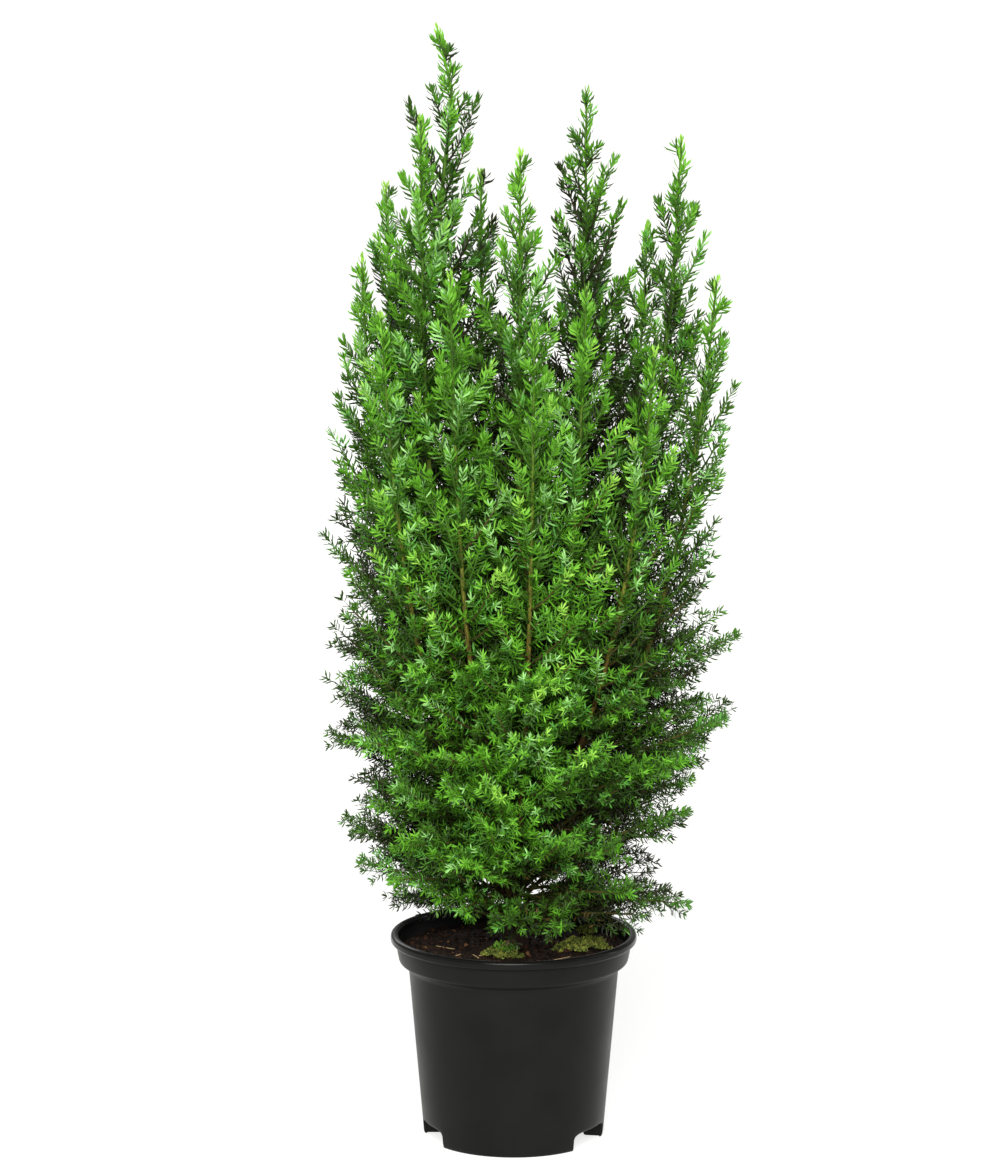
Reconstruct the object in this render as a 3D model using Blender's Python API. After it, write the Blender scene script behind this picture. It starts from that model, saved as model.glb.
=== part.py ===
"""Young upright conifer in a round plant pot, modelled at its real size.

The pot stands on the flat middle of its floor, at the origin, with +Z up and +X to
the right. The trunk rises from the soil and runs whole to the highest tip. Stems
leave it low down and each carries a plume of foliage, and short low boughs carry a
skirt of foliage that hangs over the pot's rim. All lengths are in metres.
"""
import math
import random

import bmesh
import bpy
from mathutils import Vector

# Clearances between solids that touch on the real plant
GAP = 0.0003
LIMB_SEAT_GAP = 0.0006
FOLIAGE_GAP = 0.0022

# Faces that meet at less than this many degrees are shaded smooth
SMOOTH_ANGLE = 45.0

# Pot: radii and heights of its turned profile
POT_SEGMENTS = 32
POT_WALL = 0.0016
FOOT_RADIUS = 0.0475
CREASE_RADIUS = 0.0555
CREASE_Z = 0.090
COLLAR_LOW_RADIUS = 0.0606
COLLAR_LOW_Z = 0.0942
COLLAR_TOP_RADIUS = 0.0623
COLLAR_TOP_Z = 0.1034
LIP_RADIUS = 0.065
LIP_TOP_Z = 0.1096
LIP_ROUNDING = 0.0010
COLLAR_ROUNDING = 0.0010
FLOOR_DISC_RADIUS = 0.030
FLOOR_RING_Z = 0.006
FLOOR_THICKNESS = 0.0018
FLOOR_SLOPE = 0.0025

# Drain notches in the foot: bearing from the front, towards +X, and width
DRAIN_NOTCHES = ((-69.6, 0.0305), (60.5, 0.032), (180.0, 0.029))
NOTCH_HEIGHT = 0.009
NOTCH_BELOW = -0.002
NOTCH_CORNER_STEPS = 3
NOTCH_CORNER = 0.0045
NOTCH_INNER = 0.041
NOTCH_OUTER = 0.050

# Soil and the moss on it: x, y, half width, half depth, height
SOIL_TOP_Z = 0.1015
MOSS_PATCHES = {
    "moss_front": (-0.006, -0.019, 0.011, 0.012, 0.0035),
    "moss_right": (0.036, 0.001, 0.014, 0.018, 0.0040),
    "moss_back": (0.039, 0.031, 0.006, 0.008, 0.0030),
}
MOSS_PROFILE = ((1.0, 0.0), (0.98, 0.35), (0.72, 0.80), (0.34, 1.0))
MOSS_UNEVENNESS = 0.16
MOSS_SIDES = 10

# Trunk: places its line passes through, and its radius
TRUNK_LINE = (
    (0.001, 0.000, 0.1015),
    (-0.004, 0.000, 0.181),
    (-0.009, 0.002, 0.261),
    (-0.014, 0.000, 0.340),
    (-0.034, 0.000, 0.434),
    (-0.038, 0.002, 0.490),
    (-0.032, 0.003, 0.550),
    (-0.040, 0.005, 0.587),
)
TRUNK_FOOT_Z = SOIL_TOP_Z + GAP
TRUNK_TOP_Z = TRUNK_LINE[-1][2]
TRUNK_RADIUS = 0.0043
TRUNK_TIP_RADIUS = 0.0008
ROOT_FLARE = 0.0034
ROOT_FLARE_HEIGHT = 0.006
ROOT_FLARE_RISES = (0.0, 0.003, 0.008, 0.016, 0.035, 0.060)
TRUNK_SIDES = 8

# Stems: tip x, y, z, height of the fork on the trunk, height where foliage begins
STEMS = {
    "far_right": (0.104, -0.014, 0.460, 0.126, 0.200),
    "right": (0.086, 0.008, 0.530, 0.164, 0.248),
    "front_right": (0.071, -0.058, 0.429, 0.140, 0.200),
    "front": (0.036, -0.070, 0.462, 0.154, 0.200),
    "front_centre": (0.010, -0.082, 0.445, 0.128, 0.200),
    "front_left_inner": (-0.032, -0.072, 0.469, 0.148, 0.200),
    "front_left": (-0.067, -0.056, 0.446, 0.134, 0.200),
    "far_left": (-0.078, -0.010, 0.471, 0.122, 0.200),
    "left": (-0.066, 0.018, 0.506, 0.166, 0.248),
    "back_left": (-0.060, 0.058, 0.464, 0.143, 0.200),
    "back_centre": (0.004, 0.080, 0.473, 0.131, 0.200),
    "back_right": (0.070, 0.042, 0.483, 0.151, 0.200),
    "right_back": (0.042, 0.052, 0.498, 0.176, 0.248),
    "centre_right": (0.037, 0.014, 0.555, 0.190, 0.296),
    "centre": (0.003, -0.045, 0.527, 0.183, 0.272),
    "left_front": (-0.047, -0.035, 0.544, 0.174, 0.272),
    "back_left_inner": (-0.017, 0.045, 0.510, 0.188, 0.272),
}
STEM_OUTWARD_SLOPE = 0.70
STEM_RADIUS = 0.0020
STEM_END_RADIUS = 0.0016
STEM_SIDES = 6
STEM_FIRST_RISE = 0.013
STEM_RINGS = 6

# The trunk's own plume: where it begins, and its least wall round the trunk
TRUNK_PLUME_FIRST_Z = 0.320
TRUNK_PLUME_WALL = 0.0012
TRUNK_TIP_BARE = 0.003

# Plumes: reach of the side shoots at each depth below the tip
PLUME_REACH = (
    (0.000, 0.0028),
    (0.012, 0.0070),
    (0.035, 0.0110),
    (0.060, 0.0180),
    (0.120, 0.0270),
    (0.190, 0.0450),
    (0.260, 0.0510),
    (0.400, 0.0510),
)
PLUME_SIDES = 10
PLUME_LEVEL_FIRST = 0.200
PLUME_LEVEL_STEP = 0.024
PLUME_LEVEL_LEAST = 0.006
PLUME_NEAR_TIP = (0.035, 0.012)
PLUME_OUTWARD_BIAS = 0.20
PLUME_UNEVENNESS = 0.16
PLUME_LEAST_REACH = 0.0035
PLUME_FULL_LEAST_AT = 0.010

# Crown: the oval in plan that the side shoots fill
CROWN_RIGHT = 0.109
CROWN_LEFT = 0.096
CROWN_DEPTH = 0.093
CROWN_LEAST_SHARE = 0.5

# Skirt: low foliage round the stems, in sectors, over the pot's rim
SKIRT_SECTORS = 8
SKIRT_RIGHT = 0.106
SKIRT_LEFT = 0.093
SKIRT_DEPTH = 0.088
SKIRT_LEVELS = (
    (0.1190, 0.72),
    (0.1300, 0.90),
    (0.1420, 0.98),
    (0.1580, 0.92),
    (0.1750, 1.02),
    (0.1900, 1.00),
    (0.1997, 0.88),
)
SKIRT_UNEVENNESS = 0.07
SKIRT_CORE_RADIUS = 0.015
SKIRT_CORE_CLEARANCE = 0.0045
SKIRT_INNER_POINTS = 4
SKIRT_OUTER_POINTS = 6

# Low boughs: they leave the foot of the trunk and end at the skirt
LOW_BOUGH_Z = 0.1100
LOW_BOUGH_RISE = 0.0120
LOW_BOUGH_RADIUS = 0.0014
LOW_BOUGH_END_RADIUS = 0.0011
LOW_BOUGH_STAGGER = 0.0020

# Finishes: colour, roughness
FINISHES = {
    "black_plastic": ((0.018, 0.018, 0.019), 0.42),
    "moist_soil": ((0.018, 0.011, 0.008), 0.95),
    "moss": ((0.150, 0.210, 0.030), 0.95),
    "bark": ((0.110, 0.050, 0.030), 0.85),
    "young_bark": ((0.160, 0.150, 0.045), 0.75),
    "foliage": ((0.060, 0.230, 0.030), 0.70),
    "low_foliage": ((0.035, 0.150, 0.028), 0.75),
}


def clear_scene():
    """Empty the scene, so that the script can be run again."""
    for item in list(bpy.data.objects):
        bpy.data.objects.remove(item, do_unlink=True)


def finish(name):
    """Return the material of one finish, made once."""
    material = bpy.data.materials.get(name)
    if material:
        return material
    colour, roughness = FINISHES[name]
    material = bpy.data.materials.new(name)
    material.use_nodes = True
    shader = material.node_tree.nodes["Principled BSDF"]
    shader.inputs["Base Color"].default_value = (*colour, 1.0)
    shader.inputs["Roughness"].default_value = roughness
    shader.inputs["Metallic"].default_value = 0.0
    return material


def add_object(name, mesh, finish_name):
    """Link a mesh as a named object with its finish and smooth shading."""
    mesh.materials.append(finish(finish_name))
    mesh.shade_smooth()
    mesh.set_sharp_from_angle(angle=math.radians(SMOOTH_ANGLE))
    item = bpy.data.objects.new(name, mesh)
    bpy.context.scene.collection.objects.link(item)
    return item


def mesh_from_faces(name, points, faces):
    """Make a mesh from its points and its faces."""
    mesh = bpy.data.meshes.new(name)
    mesh.from_pydata([tuple(point) for point in points], [], faces)
    mesh.update()
    return mesh


def wall_faces(first, second, count):
    """Quads from the ring that starts at one index up to the ring at another."""
    faces = []
    for i in range(count):
        j = (i + 1) % count
        faces.append((first + i, first + j, second + j, second + i))
    return faces


def solid_loft(name, rings):
    """Closed body through rings of equal count, with a flat cap on each end."""
    count = len(rings[0])
    points = [point for ring in rings for point in ring]
    faces = [tuple(reversed(range(count)))]
    for k in range(len(rings) - 1):
        faces += wall_faces(k * count, (k + 1) * count, count)
    top = (len(rings) - 1) * count
    faces.append(tuple(range(top, top + count)))
    return mesh_from_faces(name, points, faces)


def sleeve_loft(name, outer, inner):
    """Closed body between outer and inner rings, open along its middle."""
    count = len(outer[0])
    points = [point for ring in outer + inner for point in ring]
    shift = len(outer) * count
    last = (len(outer) - 1) * count
    faces = []
    for k in range(len(outer) - 1):
        faces += wall_faces(k * count, (k + 1) * count, count)
        faces += wall_faces(shift + (k + 1) * count, shift + k * count, count)
    faces += wall_faces(shift, 0, count)
    faces += wall_faces(last, shift + last, count)
    return mesh_from_faces(name, points, faces)


def turned(name, profile):
    """Turn a closed outline of (radius, height) points round the pot's axis."""
    shape = bmesh.new()
    ring = [shape.verts.new((radius, 0.0, height)) for radius, height in profile]
    edges = [shape.edges.new((ring[i], ring[i + 1])) for i in range(len(ring) - 1)]
    bmesh.ops.spin(
        shape,
        geom=ring + edges,
        cent=(0.0, 0.0, 0.0),
        axis=(0.0, 0.0, 1.0),
        angle=2.0 * math.pi,
        steps=POT_SEGMENTS,
        use_merge=True,
    )
    bmesh.ops.remove_doubles(shape, verts=shape.verts, dist=0.00001)
    bmesh.ops.recalc_face_normals(shape, faces=shape.faces)
    mesh = bpy.data.meshes.new(name)
    shape.to_mesh(mesh)
    shape.free()
    return mesh


def wall_radius(height):
    """Outer radius of the pot's straight wall at a height."""
    return FOOT_RADIUS + (CREASE_RADIUS - FOOT_RADIUS) * height / CREASE_Z


def pot_profile():
    """Outline of the pot from the middle of its underside, round the lip and back."""
    inner_floor_z = FLOOR_RING_Z + FLOOR_THICKNESS
    outside = [
        (0.0, 0.0),
        (FLOOR_DISC_RADIUS, 0.0),
        (FLOOR_DISC_RADIUS + FLOOR_SLOPE, FLOOR_RING_Z),
        (wall_radius(FLOOR_RING_Z) - POT_WALL, FLOOR_RING_Z),
        (FOOT_RADIUS - POT_WALL, 0.0),
        (FOOT_RADIUS, 0.0),
        (CREASE_RADIUS, CREASE_Z),
        (CREASE_RADIUS + 0.0011, CREASE_Z + 0.0014),
        (COLLAR_LOW_RADIUS - COLLAR_ROUNDING, COLLAR_LOW_Z - 0.0016),
        (COLLAR_LOW_RADIUS, COLLAR_LOW_Z),
        (COLLAR_TOP_RADIUS, COLLAR_TOP_Z),
    ]
    lip = [
        (LIP_RADIUS - 0.0006, COLLAR_TOP_Z + 0.0002),
        (LIP_RADIUS, COLLAR_TOP_Z + LIP_ROUNDING),
        (LIP_RADIUS, LIP_TOP_Z - LIP_ROUNDING),
        (LIP_RADIUS - LIP_ROUNDING, LIP_TOP_Z),
        (LIP_RADIUS - 0.0030, LIP_TOP_Z - 0.0002),
        (COLLAR_TOP_RADIUS - POT_WALL + 0.0002, LIP_TOP_Z - 0.0026),
    ]
    inside = [
        (COLLAR_TOP_RADIUS - POT_WALL, COLLAR_TOP_Z),
        (COLLAR_LOW_RADIUS - POT_WALL, COLLAR_LOW_Z + COLLAR_ROUNDING),
        (COLLAR_LOW_RADIUS - POT_WALL - 0.0008, COLLAR_LOW_Z - 0.0002),
        (CREASE_RADIUS - 0.0001, CREASE_Z + 0.0029),
        (CREASE_RADIUS - POT_WALL + 0.0001, CREASE_Z + 0.0010),
        (wall_radius(inner_floor_z) - POT_WALL, inner_floor_z),
        (FLOOR_DISC_RADIUS + FLOOR_SLOPE - 0.0010, inner_floor_z),
        (FLOOR_DISC_RADIUS - 0.0010, FLOOR_THICKNESS),
        (0.0, FLOOR_THICKNESS),
    ]
    return outside + lip + inside


def soil_profile():
    """Outline of the soil, one clearance inside the pot, with a level top."""
    inner_floor_z = FLOOR_RING_Z + FLOOR_THICKNESS + GAP
    collar_inner = COLLAR_LOW_RADIUS - POT_WALL - GAP
    return [
        (0.0, FLOOR_THICKNESS + GAP),
        (FLOOR_DISC_RADIUS - 0.0013, FLOOR_THICKNESS + GAP),
        (FLOOR_DISC_RADIUS + FLOOR_SLOPE - 0.0013, inner_floor_z),
        (wall_radius(inner_floor_z) - POT_WALL - GAP, inner_floor_z),
        (CREASE_RADIUS - POT_WALL - GAP, CREASE_Z + 0.0012),
        (CREASE_RADIUS - 0.0004, CREASE_Z + 0.0033),
        (collar_inner - 0.0008, COLLAR_LOW_Z + 0.0002),
        (collar_inner, COLLAR_LOW_Z + 0.0013),
        (collar_inner + 0.0011, SOIL_TOP_Z),
        (0.0, SOIL_TOP_Z),
    ]


def notch_cutter(name, bearing, width):
    """Round-topped block that cuts one drain notch through the foot."""
    half = width / 2.0
    outline = [(-half, NOTCH_BELOW), (half, NOTCH_BELOW)]
    for side in (1.0, -1.0):
        for step in range(NOTCH_CORNER_STEPS + 1):
            share = step / NOTCH_CORNER_STEPS
            turn = math.radians(90.0) * (share if side > 0.0 else 1.0 - share)
            across = side * (half - NOTCH_CORNER + NOTCH_CORNER * math.cos(turn))
            height = NOTCH_HEIGHT - NOTCH_CORNER + NOTCH_CORNER * math.sin(turn)
            outline.append((across, height))
    angle = math.radians(bearing)
    outward = Vector((math.sin(angle), -math.cos(angle), 0.0))
    sideways = Vector((math.cos(angle), math.sin(angle), 0.0))
    up = Vector((0.0, 0.0, 1.0))
    rings = []
    for radius in (NOTCH_INNER, NOTCH_OUTER):
        rings.append([outward * radius + sideways * a + up * h for a, h in outline])
    cutter = add_object(name, solid_loft(name, rings), "black_plastic")
    cutter.hide_render = True
    cutter.display_type = "WIRE"
    return cutter


def make_pot():
    """Pot with its rolled lip, collar, tapering wall and notched foot."""
    pot = add_object("pot", turned("pot", pot_profile()), "black_plastic")
    for number, (bearing, width) in enumerate(DRAIN_NOTCHES, start=1):
        cut = pot.modifiers.new(f"drain_notch_{number}", "BOOLEAN")
        cut.operation = "DIFFERENCE"
        cut.solver = "EXACT"
        cut.object = notch_cutter(f"drain_notch_cutter_{number}", bearing, width)


def make_soil():
    """Soil that fills the pot to just under its lip."""
    add_object("soil", turned("soil", soil_profile()), "moist_soil")


def make_moss():
    """Low cushions of moss that lie on the soil."""
    for name, (x, y, half_width, half_depth, height) in MOSS_PATCHES.items():
        wobble = random.Random(name)
        edge = [1.0 + wobble.uniform(-MOSS_UNEVENNESS, MOSS_UNEVENNESS) for _ in range(MOSS_SIDES)]
        rings = []
        for reach, rise in MOSS_PROFILE:
            ring = []
            for i in range(MOSS_SIDES):
                turn = 2.0 * math.pi * i / MOSS_SIDES
                ring.append(Vector((
                    x + half_width * reach * edge[i] * math.cos(turn),
                    y + half_depth * reach * edge[i] * math.sin(turn),
                    SOIL_TOP_Z + GAP + height * rise,
                )))
            rings.append(ring)
        add_object(name, solid_loft(name, rings), "moss")


def trunk_point(height):
    """Middle of the trunk at a height, on a smooth curve through its places."""
    places = [Vector(place) for place in TRUNK_LINE]
    last = len(places) - 2
    k = 0
    while k < last and height > places[k + 1].z:
        k += 1
    before = places[max(k - 1, 0)]
    start = places[k]
    end = places[k + 1]
    after = places[min(k + 2, last + 1)]
    t = (height - start.z) / (end.z - start.z)
    leave = (end - before) * ((end.z - start.z) / (end.z - before.z))
    arrive = (after - start) * ((end.z - start.z) / (after.z - start.z))
    point = (
        start * (2 * t**3 - 3 * t**2 + 1)
        + leave * (t**3 - 2 * t**2 + t)
        + end * (3 * t**2 - 2 * t**3)
        + arrive * (t**3 - t**2)
    )
    point.z = height
    return point


def trunk_radius(height):
    """Radius of the trunk: an even taper plus a flare that dies out over the roots."""
    above = height - TRUNK_FOOT_Z
    along = above / (TRUNK_TOP_Z - TRUNK_FOOT_Z)
    taper = TRUNK_RADIUS + (TRUNK_TIP_RADIUS - TRUNK_RADIUS) * along
    return taper + ROOT_FLARE * math.exp(-above / ROOT_FLARE_HEIGHT)


def stem_point(stem, height):
    """Middle of a stem: it leaves the trunk outwards and bends to upright."""
    tip_x, tip_y, tip_z, fork_z, _ = stem
    start = trunk_point(fork_z)
    away = Vector((tip_x - start.x, tip_y - start.y, 0.0))
    bend = away.length / STEM_OUTWARD_SLOPE
    above = min(height, tip_z) - fork_z
    share = (1.0 - math.exp(-above / bend)) / (1.0 - math.exp(-(tip_z - fork_z) / bend))
    point = start + away * share
    point.z = height
    return point


def upright_ring(centre, radii, turn=0.0):
    """Level ring round a centre, with a radius for each of its points."""
    count = len(radii)
    ring = []
    for i, radius in enumerate(radii):
        angle = turn + 2.0 * math.pi * i / count
        ring.append(centre + Vector((radius * math.cos(angle), radius * math.sin(angle), 0.0)))
    return ring


def plume_levels(first_z, tip_z):
    """Heights of a plume's rings: shared steps, then two close to the tip."""
    levels = []
    height = PLUME_LEVEL_FIRST
    while height < tip_z - PLUME_NEAR_TIP[0] - PLUME_LEVEL_LEAST:
        if height > first_z - 0.0001:
            levels.append(height)
        height += PLUME_LEVEL_STEP
    return levels + [tip_z - drop for drop in PLUME_NEAR_TIP] + [tip_z]


def make_trunk():
    """Trunk from its flat cut at the soil, with a root flare, whole to its tip."""
    flare = [TRUNK_FOOT_Z + rise for rise in ROOT_FLARE_RISES]
    levels = flare + plume_levels(PLUME_LEVEL_FIRST, TRUNK_TOP_Z)
    rings = [
        upright_ring(trunk_point(z), [trunk_radius(z)] * TRUNK_SIDES)
        for z in levels
    ]
    add_object("trunk", solid_loft("trunk", rings), "bark")


def limb_ring(centre, direction, radius):
    """Ring of a limb, square to the direction in which the limb grows."""
    side = direction.cross(Vector((0.0, 0.0, 1.0))).normalized()
    rise = side.cross(direction).normalized()
    ring = []
    for i in range(STEM_SIDES):
        angle = 2.0 * math.pi * i / STEM_SIDES
        ring.append(centre + (side * math.cos(angle) - rise * math.sin(angle)) * radius)
    return ring


def slide_to_trunk(point, direction):
    """Move a point along a limb's direction until it is one clearance off the trunk."""
    for _ in range(4):
        middle = trunk_point(point.z)
        reach = trunk_radius(point.z) + LIMB_SEAT_GAP
        across = Vector((point.x - middle.x, point.y - middle.y))
        heading = Vector((direction.x, direction.y))
        a = heading.length_squared
        b = across.dot(heading)
        c = across.length_squared - reach * reach
        point = point + direction * ((-b + math.sqrt(max(b * b - a * c, 0.0))) / a)
    return point


def make_stem(name, stem):
    """One tapering limb from the trunk to the underside of its plume."""
    fork_z = stem[3]
    first_z = fork_z + STEM_FIRST_RISE
    end_z = stem[4] - GAP
    steps = STEM_RINGS - 2
    heights = [fork_z] + [first_z + (end_z - first_z) * k / steps for k in range(steps + 1)]
    centres = [stem_point(stem, height) for height in heights]
    rings = []
    for k, centre in enumerate(centres):
        along = (heights[k] - fork_z) / (end_z - fork_z)
        radius = STEM_RADIUS + (STEM_END_RADIUS - STEM_RADIUS) * along
        direction = (centres[max(k, 1)] - centres[max(k, 1) - 1]).normalized()
        ring = limb_ring(centre, direction, radius)
        if k == 0:
            ring = [slide_to_trunk(point, direction) for point in ring]
        if centre is centres[-1]:
            ring = [p + direction * ((end_z - p.z) / direction.z) for p in ring]
        rings.append(ring)
    add_object(f"stem_{name}", solid_loft(f"stem_{name}", rings), "young_bark")


def lines_at(height):
    """Middles of the trunk and of every stem that is present near a height."""
    lines = {"trunk": trunk_point(min(height, TRUNK_TOP_Z))}
    for name, stem in STEMS.items():
        if stem[3] < height < stem[2] + PLUME_LEVEL_STEP:
            lines[name] = stem_point(stem, height)
    return lines


def free_reach(owner, centre, heading, lines):
    """How far foliage may reach before it is half way to another stem."""
    reach = 1.0
    for name, point in lines.items():
        toward = Vector((point.x - centre.x, point.y - centre.y))
        along = toward.dot(heading)
        if name != owner and along > 0.000001:
            reach = min(reach, toward.length_squared / (2.0 * along))
    return reach - FOLIAGE_GAP / 2.0


def crown_reach(centre, heading):
    """Distance from a point, along a heading, to the oval edge of the crown."""
    middle = (CROWN_RIGHT - CROWN_LEFT) / 2.0
    half = (CROWN_RIGHT + CROWN_LEFT) / 2.0
    u = heading.x / half
    v = heading.y / CROWN_DEPTH
    p = (centre.x - middle) / half
    q = centre.y / CROWN_DEPTH
    a = u * u + v * v
    b = p * u + q * v
    c = p * p + q * q - 1.0
    return (-b + math.sqrt(max(b * b - a * c, 0.0))) / a


def side_reach(below_tip):
    """Reach of the side shoots at a depth below the tip, between the listed ones."""
    for (depth_a, reach_a), (depth_b, reach_b) in zip(PLUME_REACH, PLUME_REACH[1:]):
        if below_tip <= depth_b:
            share = (below_tip - depth_a) / (depth_b - depth_a)
            return reach_a + (reach_b - reach_a) * share
    return PLUME_REACH[-1][1]


def plume_radii(owner, centre, height, tip_z, wobble):
    """Radii of one ring of a plume: longer side shoots outwards, uneven, and
    stopped half way to each neighbour."""
    lines = lines_at(height)
    outward = math.atan2(centre.y, centre.x)
    reach = side_reach(tip_z - height)
    radii = []
    for i in range(PLUME_SIDES):
        angle = 2.0 * math.pi * i / PLUME_SIDES
        heading = Vector((math.cos(angle), math.sin(angle)))
        own = reach * (1.0 + PLUME_OUTWARD_BIAS * math.cos(angle - outward))
        own = min(own, max(crown_reach(centre, heading), reach * CROWN_LEAST_SHARE))
        own *= 1.0 + wobble.uniform(-PLUME_UNEVENNESS, PLUME_UNEVENNESS)
        radii.append(min(own, free_reach(owner, centre, heading, lines)))
    least = PLUME_LEAST_REACH * min(1.0, reach / PLUME_FULL_LEAST_AT)
    return [max(radius, least) for radius in radii]


def make_plume(name, stem):
    """Foliage of one stem, from where its limb ends to its tip."""
    wobble = random.Random(f"plume {name}")
    tip_z = stem[2]
    rings = []
    for height in plume_levels(stem[4], tip_z):
        centre = stem_point(stem, height)
        rings.append(upright_ring(centre, plume_radii(name, centre, height, tip_z, wobble)))
    add_object(f"foliage_{name}", solid_loft(f"foliage_{name}", rings), "foliage")


def make_trunk_plume():
    """Foliage of the trunk's own top, cut round the trunk, which stays whole."""
    wobble = random.Random("plume trunk")
    corner = 1.0 / math.cos(math.pi / PLUME_SIDES)
    outer = []
    inner = []
    for height in plume_levels(TRUNK_PLUME_FIRST_Z, TRUNK_TOP_Z):
        seat = min(height, TRUNK_TOP_Z - TRUNK_TIP_BARE)
        centre = trunk_point(seat)
        hole = (trunk_radius(seat) + GAP) * corner
        radii = plume_radii("trunk", centre, seat, TRUNK_TOP_Z, wobble)
        outer.append(upright_ring(centre, [max(r, hole + TRUNK_PLUME_WALL) for r in radii]))
        inner.append(upright_ring(centre, [hole] * PLUME_SIDES))
    mesh = sleeve_loft("foliage_trunk", outer, inner)
    add_object("foliage_trunk", mesh, "foliage")


def core_radius(height):
    """Radius of the space inside the skirt where the stems fan out."""
    widest = SKIRT_CORE_RADIUS
    for stem in STEMS.values():
        if stem[3] < height:
            point = stem_point(stem, height)
            reach = math.hypot(point.x, point.y) + SKIRT_CORE_CLEARANCE
            widest = max(widest, reach)
    return widest


def skirt_point(angle, share):
    """Outer edge of the skirt in plan: an oval that reaches further to the right."""
    middle = (SKIRT_RIGHT - SKIRT_LEFT) / 2.0
    half = (SKIRT_RIGHT + SKIRT_LEFT) / 2.0
    return Vector((
        middle + half * share * math.cos(angle),
        SKIRT_DEPTH * share * math.sin(angle),
        0.0,
    ))


def sector_angles(number):
    """Start and end bearing of one sector of the skirt."""
    step = 2.0 * math.pi / SKIRT_SECTORS
    start = step * (number - 0.5)
    return start, start + step


def make_skirt_sector(number):
    """One mass of the skirt: a sector with an uneven outer face."""
    wobble = random.Random(100 + number)
    start, end = sector_angles(number)
    rings = []
    for height, share in SKIRT_LEVELS:
        core = core_radius(height)
        ring = []
        for i in range(SKIRT_INNER_POINTS):
            inset = FOLIAGE_GAP / 2.0 / core
            turn = i / (SKIRT_INNER_POINTS - 1)
            angle = end - inset + (start - end + 2.0 * inset) * turn
            ring.append(Vector((core * math.cos(angle), core * math.sin(angle), height)))
        for i in range(SKIRT_OUTER_POINTS):
            edge = share * (1.0 + wobble.uniform(-SKIRT_UNEVENNESS, SKIRT_UNEVENNESS))
            turn = i / (SKIRT_OUTER_POINTS - 1)
            place = skirt_point(start + (end - start) * turn, edge)
            inset = FOLIAGE_GAP / 2.0 / place.length
            angle = start + inset + (end - start - 2.0 * inset) * turn
            reach = place.length
            ring.append(Vector((reach * math.cos(angle), reach * math.sin(angle), height)))
        rings.append(ring)
    name = f"low_foliage_{number + 1}"
    add_object(name, solid_loft(name, rings), "low_foliage")


def make_low_bough(number):
    """Short bough from the foot of the trunk to the middle of a sector's inner face."""
    start, end = sector_angles(number)
    middle = (start + end) / 2.0
    outward = Vector((math.cos(middle), math.sin(middle), 0.0))
    base_z = LOW_BOUGH_Z + LOW_BOUGH_STAGGER * (number % 3)
    base = trunk_point(base_z)
    inset = FOLIAGE_GAP / 2.0 / SKIRT_CORE_RADIUS
    face_half = (end - start - 2.0 * inset) / (SKIRT_INNER_POINTS - 1) / 2.0
    face_distance = SKIRT_CORE_RADIUS * math.cos(face_half) - GAP
    target = outward * face_distance + Vector((0.0, 0.0, base_z + LOW_BOUGH_RISE))
    direction = (target - base).normalized()
    first = [
        slide_to_trunk(point, direction)
        for point in limb_ring(base, direction, LOW_BOUGH_RADIUS)
    ]
    last = []
    for point in limb_ring(target, direction, LOW_BOUGH_END_RADIUS):
        slide = (face_distance - point.dot(outward)) / direction.dot(outward)
        last.append(point + direction * slide)
    name = f"low_bough_{number + 1}"
    add_object(name, solid_loft(name, [first, last]), "bark")


def main():
    clear_scene()
    make_pot()
    make_soil()
    make_moss()
    make_trunk()
    for name, stem in STEMS.items():
        make_stem(name, stem)
        make_plume(name, stem)
    make_trunk_plume()
    for number in range(SKIRT_SECTORS):
        make_skirt_sector(number)
        make_low_bough(number)


main()
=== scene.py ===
# %% [markdown]
# # A young conifer in its pot
#
# The plant is a bundle of upright stems that fork from one short trunk. Each stem is
# clothed in side shoots and soft awl-shaped needles, and low level sprays hang over the
# rim of a black plastic pot. The solid model gives every limb and every mass of foliage
# its place and size. This script keeps those places and makes the surfaces: the moulded
# pot, the soil and moss, the bark, and the shoots and needles that grow from the limbs.

# %% Open the solid model
import math

import bpy
import numpy as np
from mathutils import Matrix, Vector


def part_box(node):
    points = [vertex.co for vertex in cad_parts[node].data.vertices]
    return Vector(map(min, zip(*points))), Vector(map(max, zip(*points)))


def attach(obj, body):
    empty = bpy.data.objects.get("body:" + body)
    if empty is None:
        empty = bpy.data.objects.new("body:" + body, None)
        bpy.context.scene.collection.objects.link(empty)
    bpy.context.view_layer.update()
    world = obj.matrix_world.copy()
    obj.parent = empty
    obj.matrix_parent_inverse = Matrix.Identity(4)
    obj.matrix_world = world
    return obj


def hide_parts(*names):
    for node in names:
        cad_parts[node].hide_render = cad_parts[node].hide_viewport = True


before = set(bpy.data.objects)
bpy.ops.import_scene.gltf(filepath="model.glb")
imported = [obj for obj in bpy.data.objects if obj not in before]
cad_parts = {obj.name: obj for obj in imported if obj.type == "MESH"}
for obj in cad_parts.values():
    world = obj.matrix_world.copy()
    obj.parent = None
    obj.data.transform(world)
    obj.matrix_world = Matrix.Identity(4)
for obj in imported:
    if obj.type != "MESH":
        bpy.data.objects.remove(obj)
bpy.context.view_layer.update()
MM = 0.001

# %% [markdown]
# ## Helpers for meshes
#
# A surface is worked out as whole arrays of points and faces. One function puts such
# arrays into a mesh in single calls, which takes a moment even for a hundred thousand
# faces, where adding them one by one would take minutes.

# %% Put arrays into a mesh
UP = np.array([0.0, 0.0, 1.0])
AWAY = np.array([1.0, 0.0, 0.0])


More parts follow.
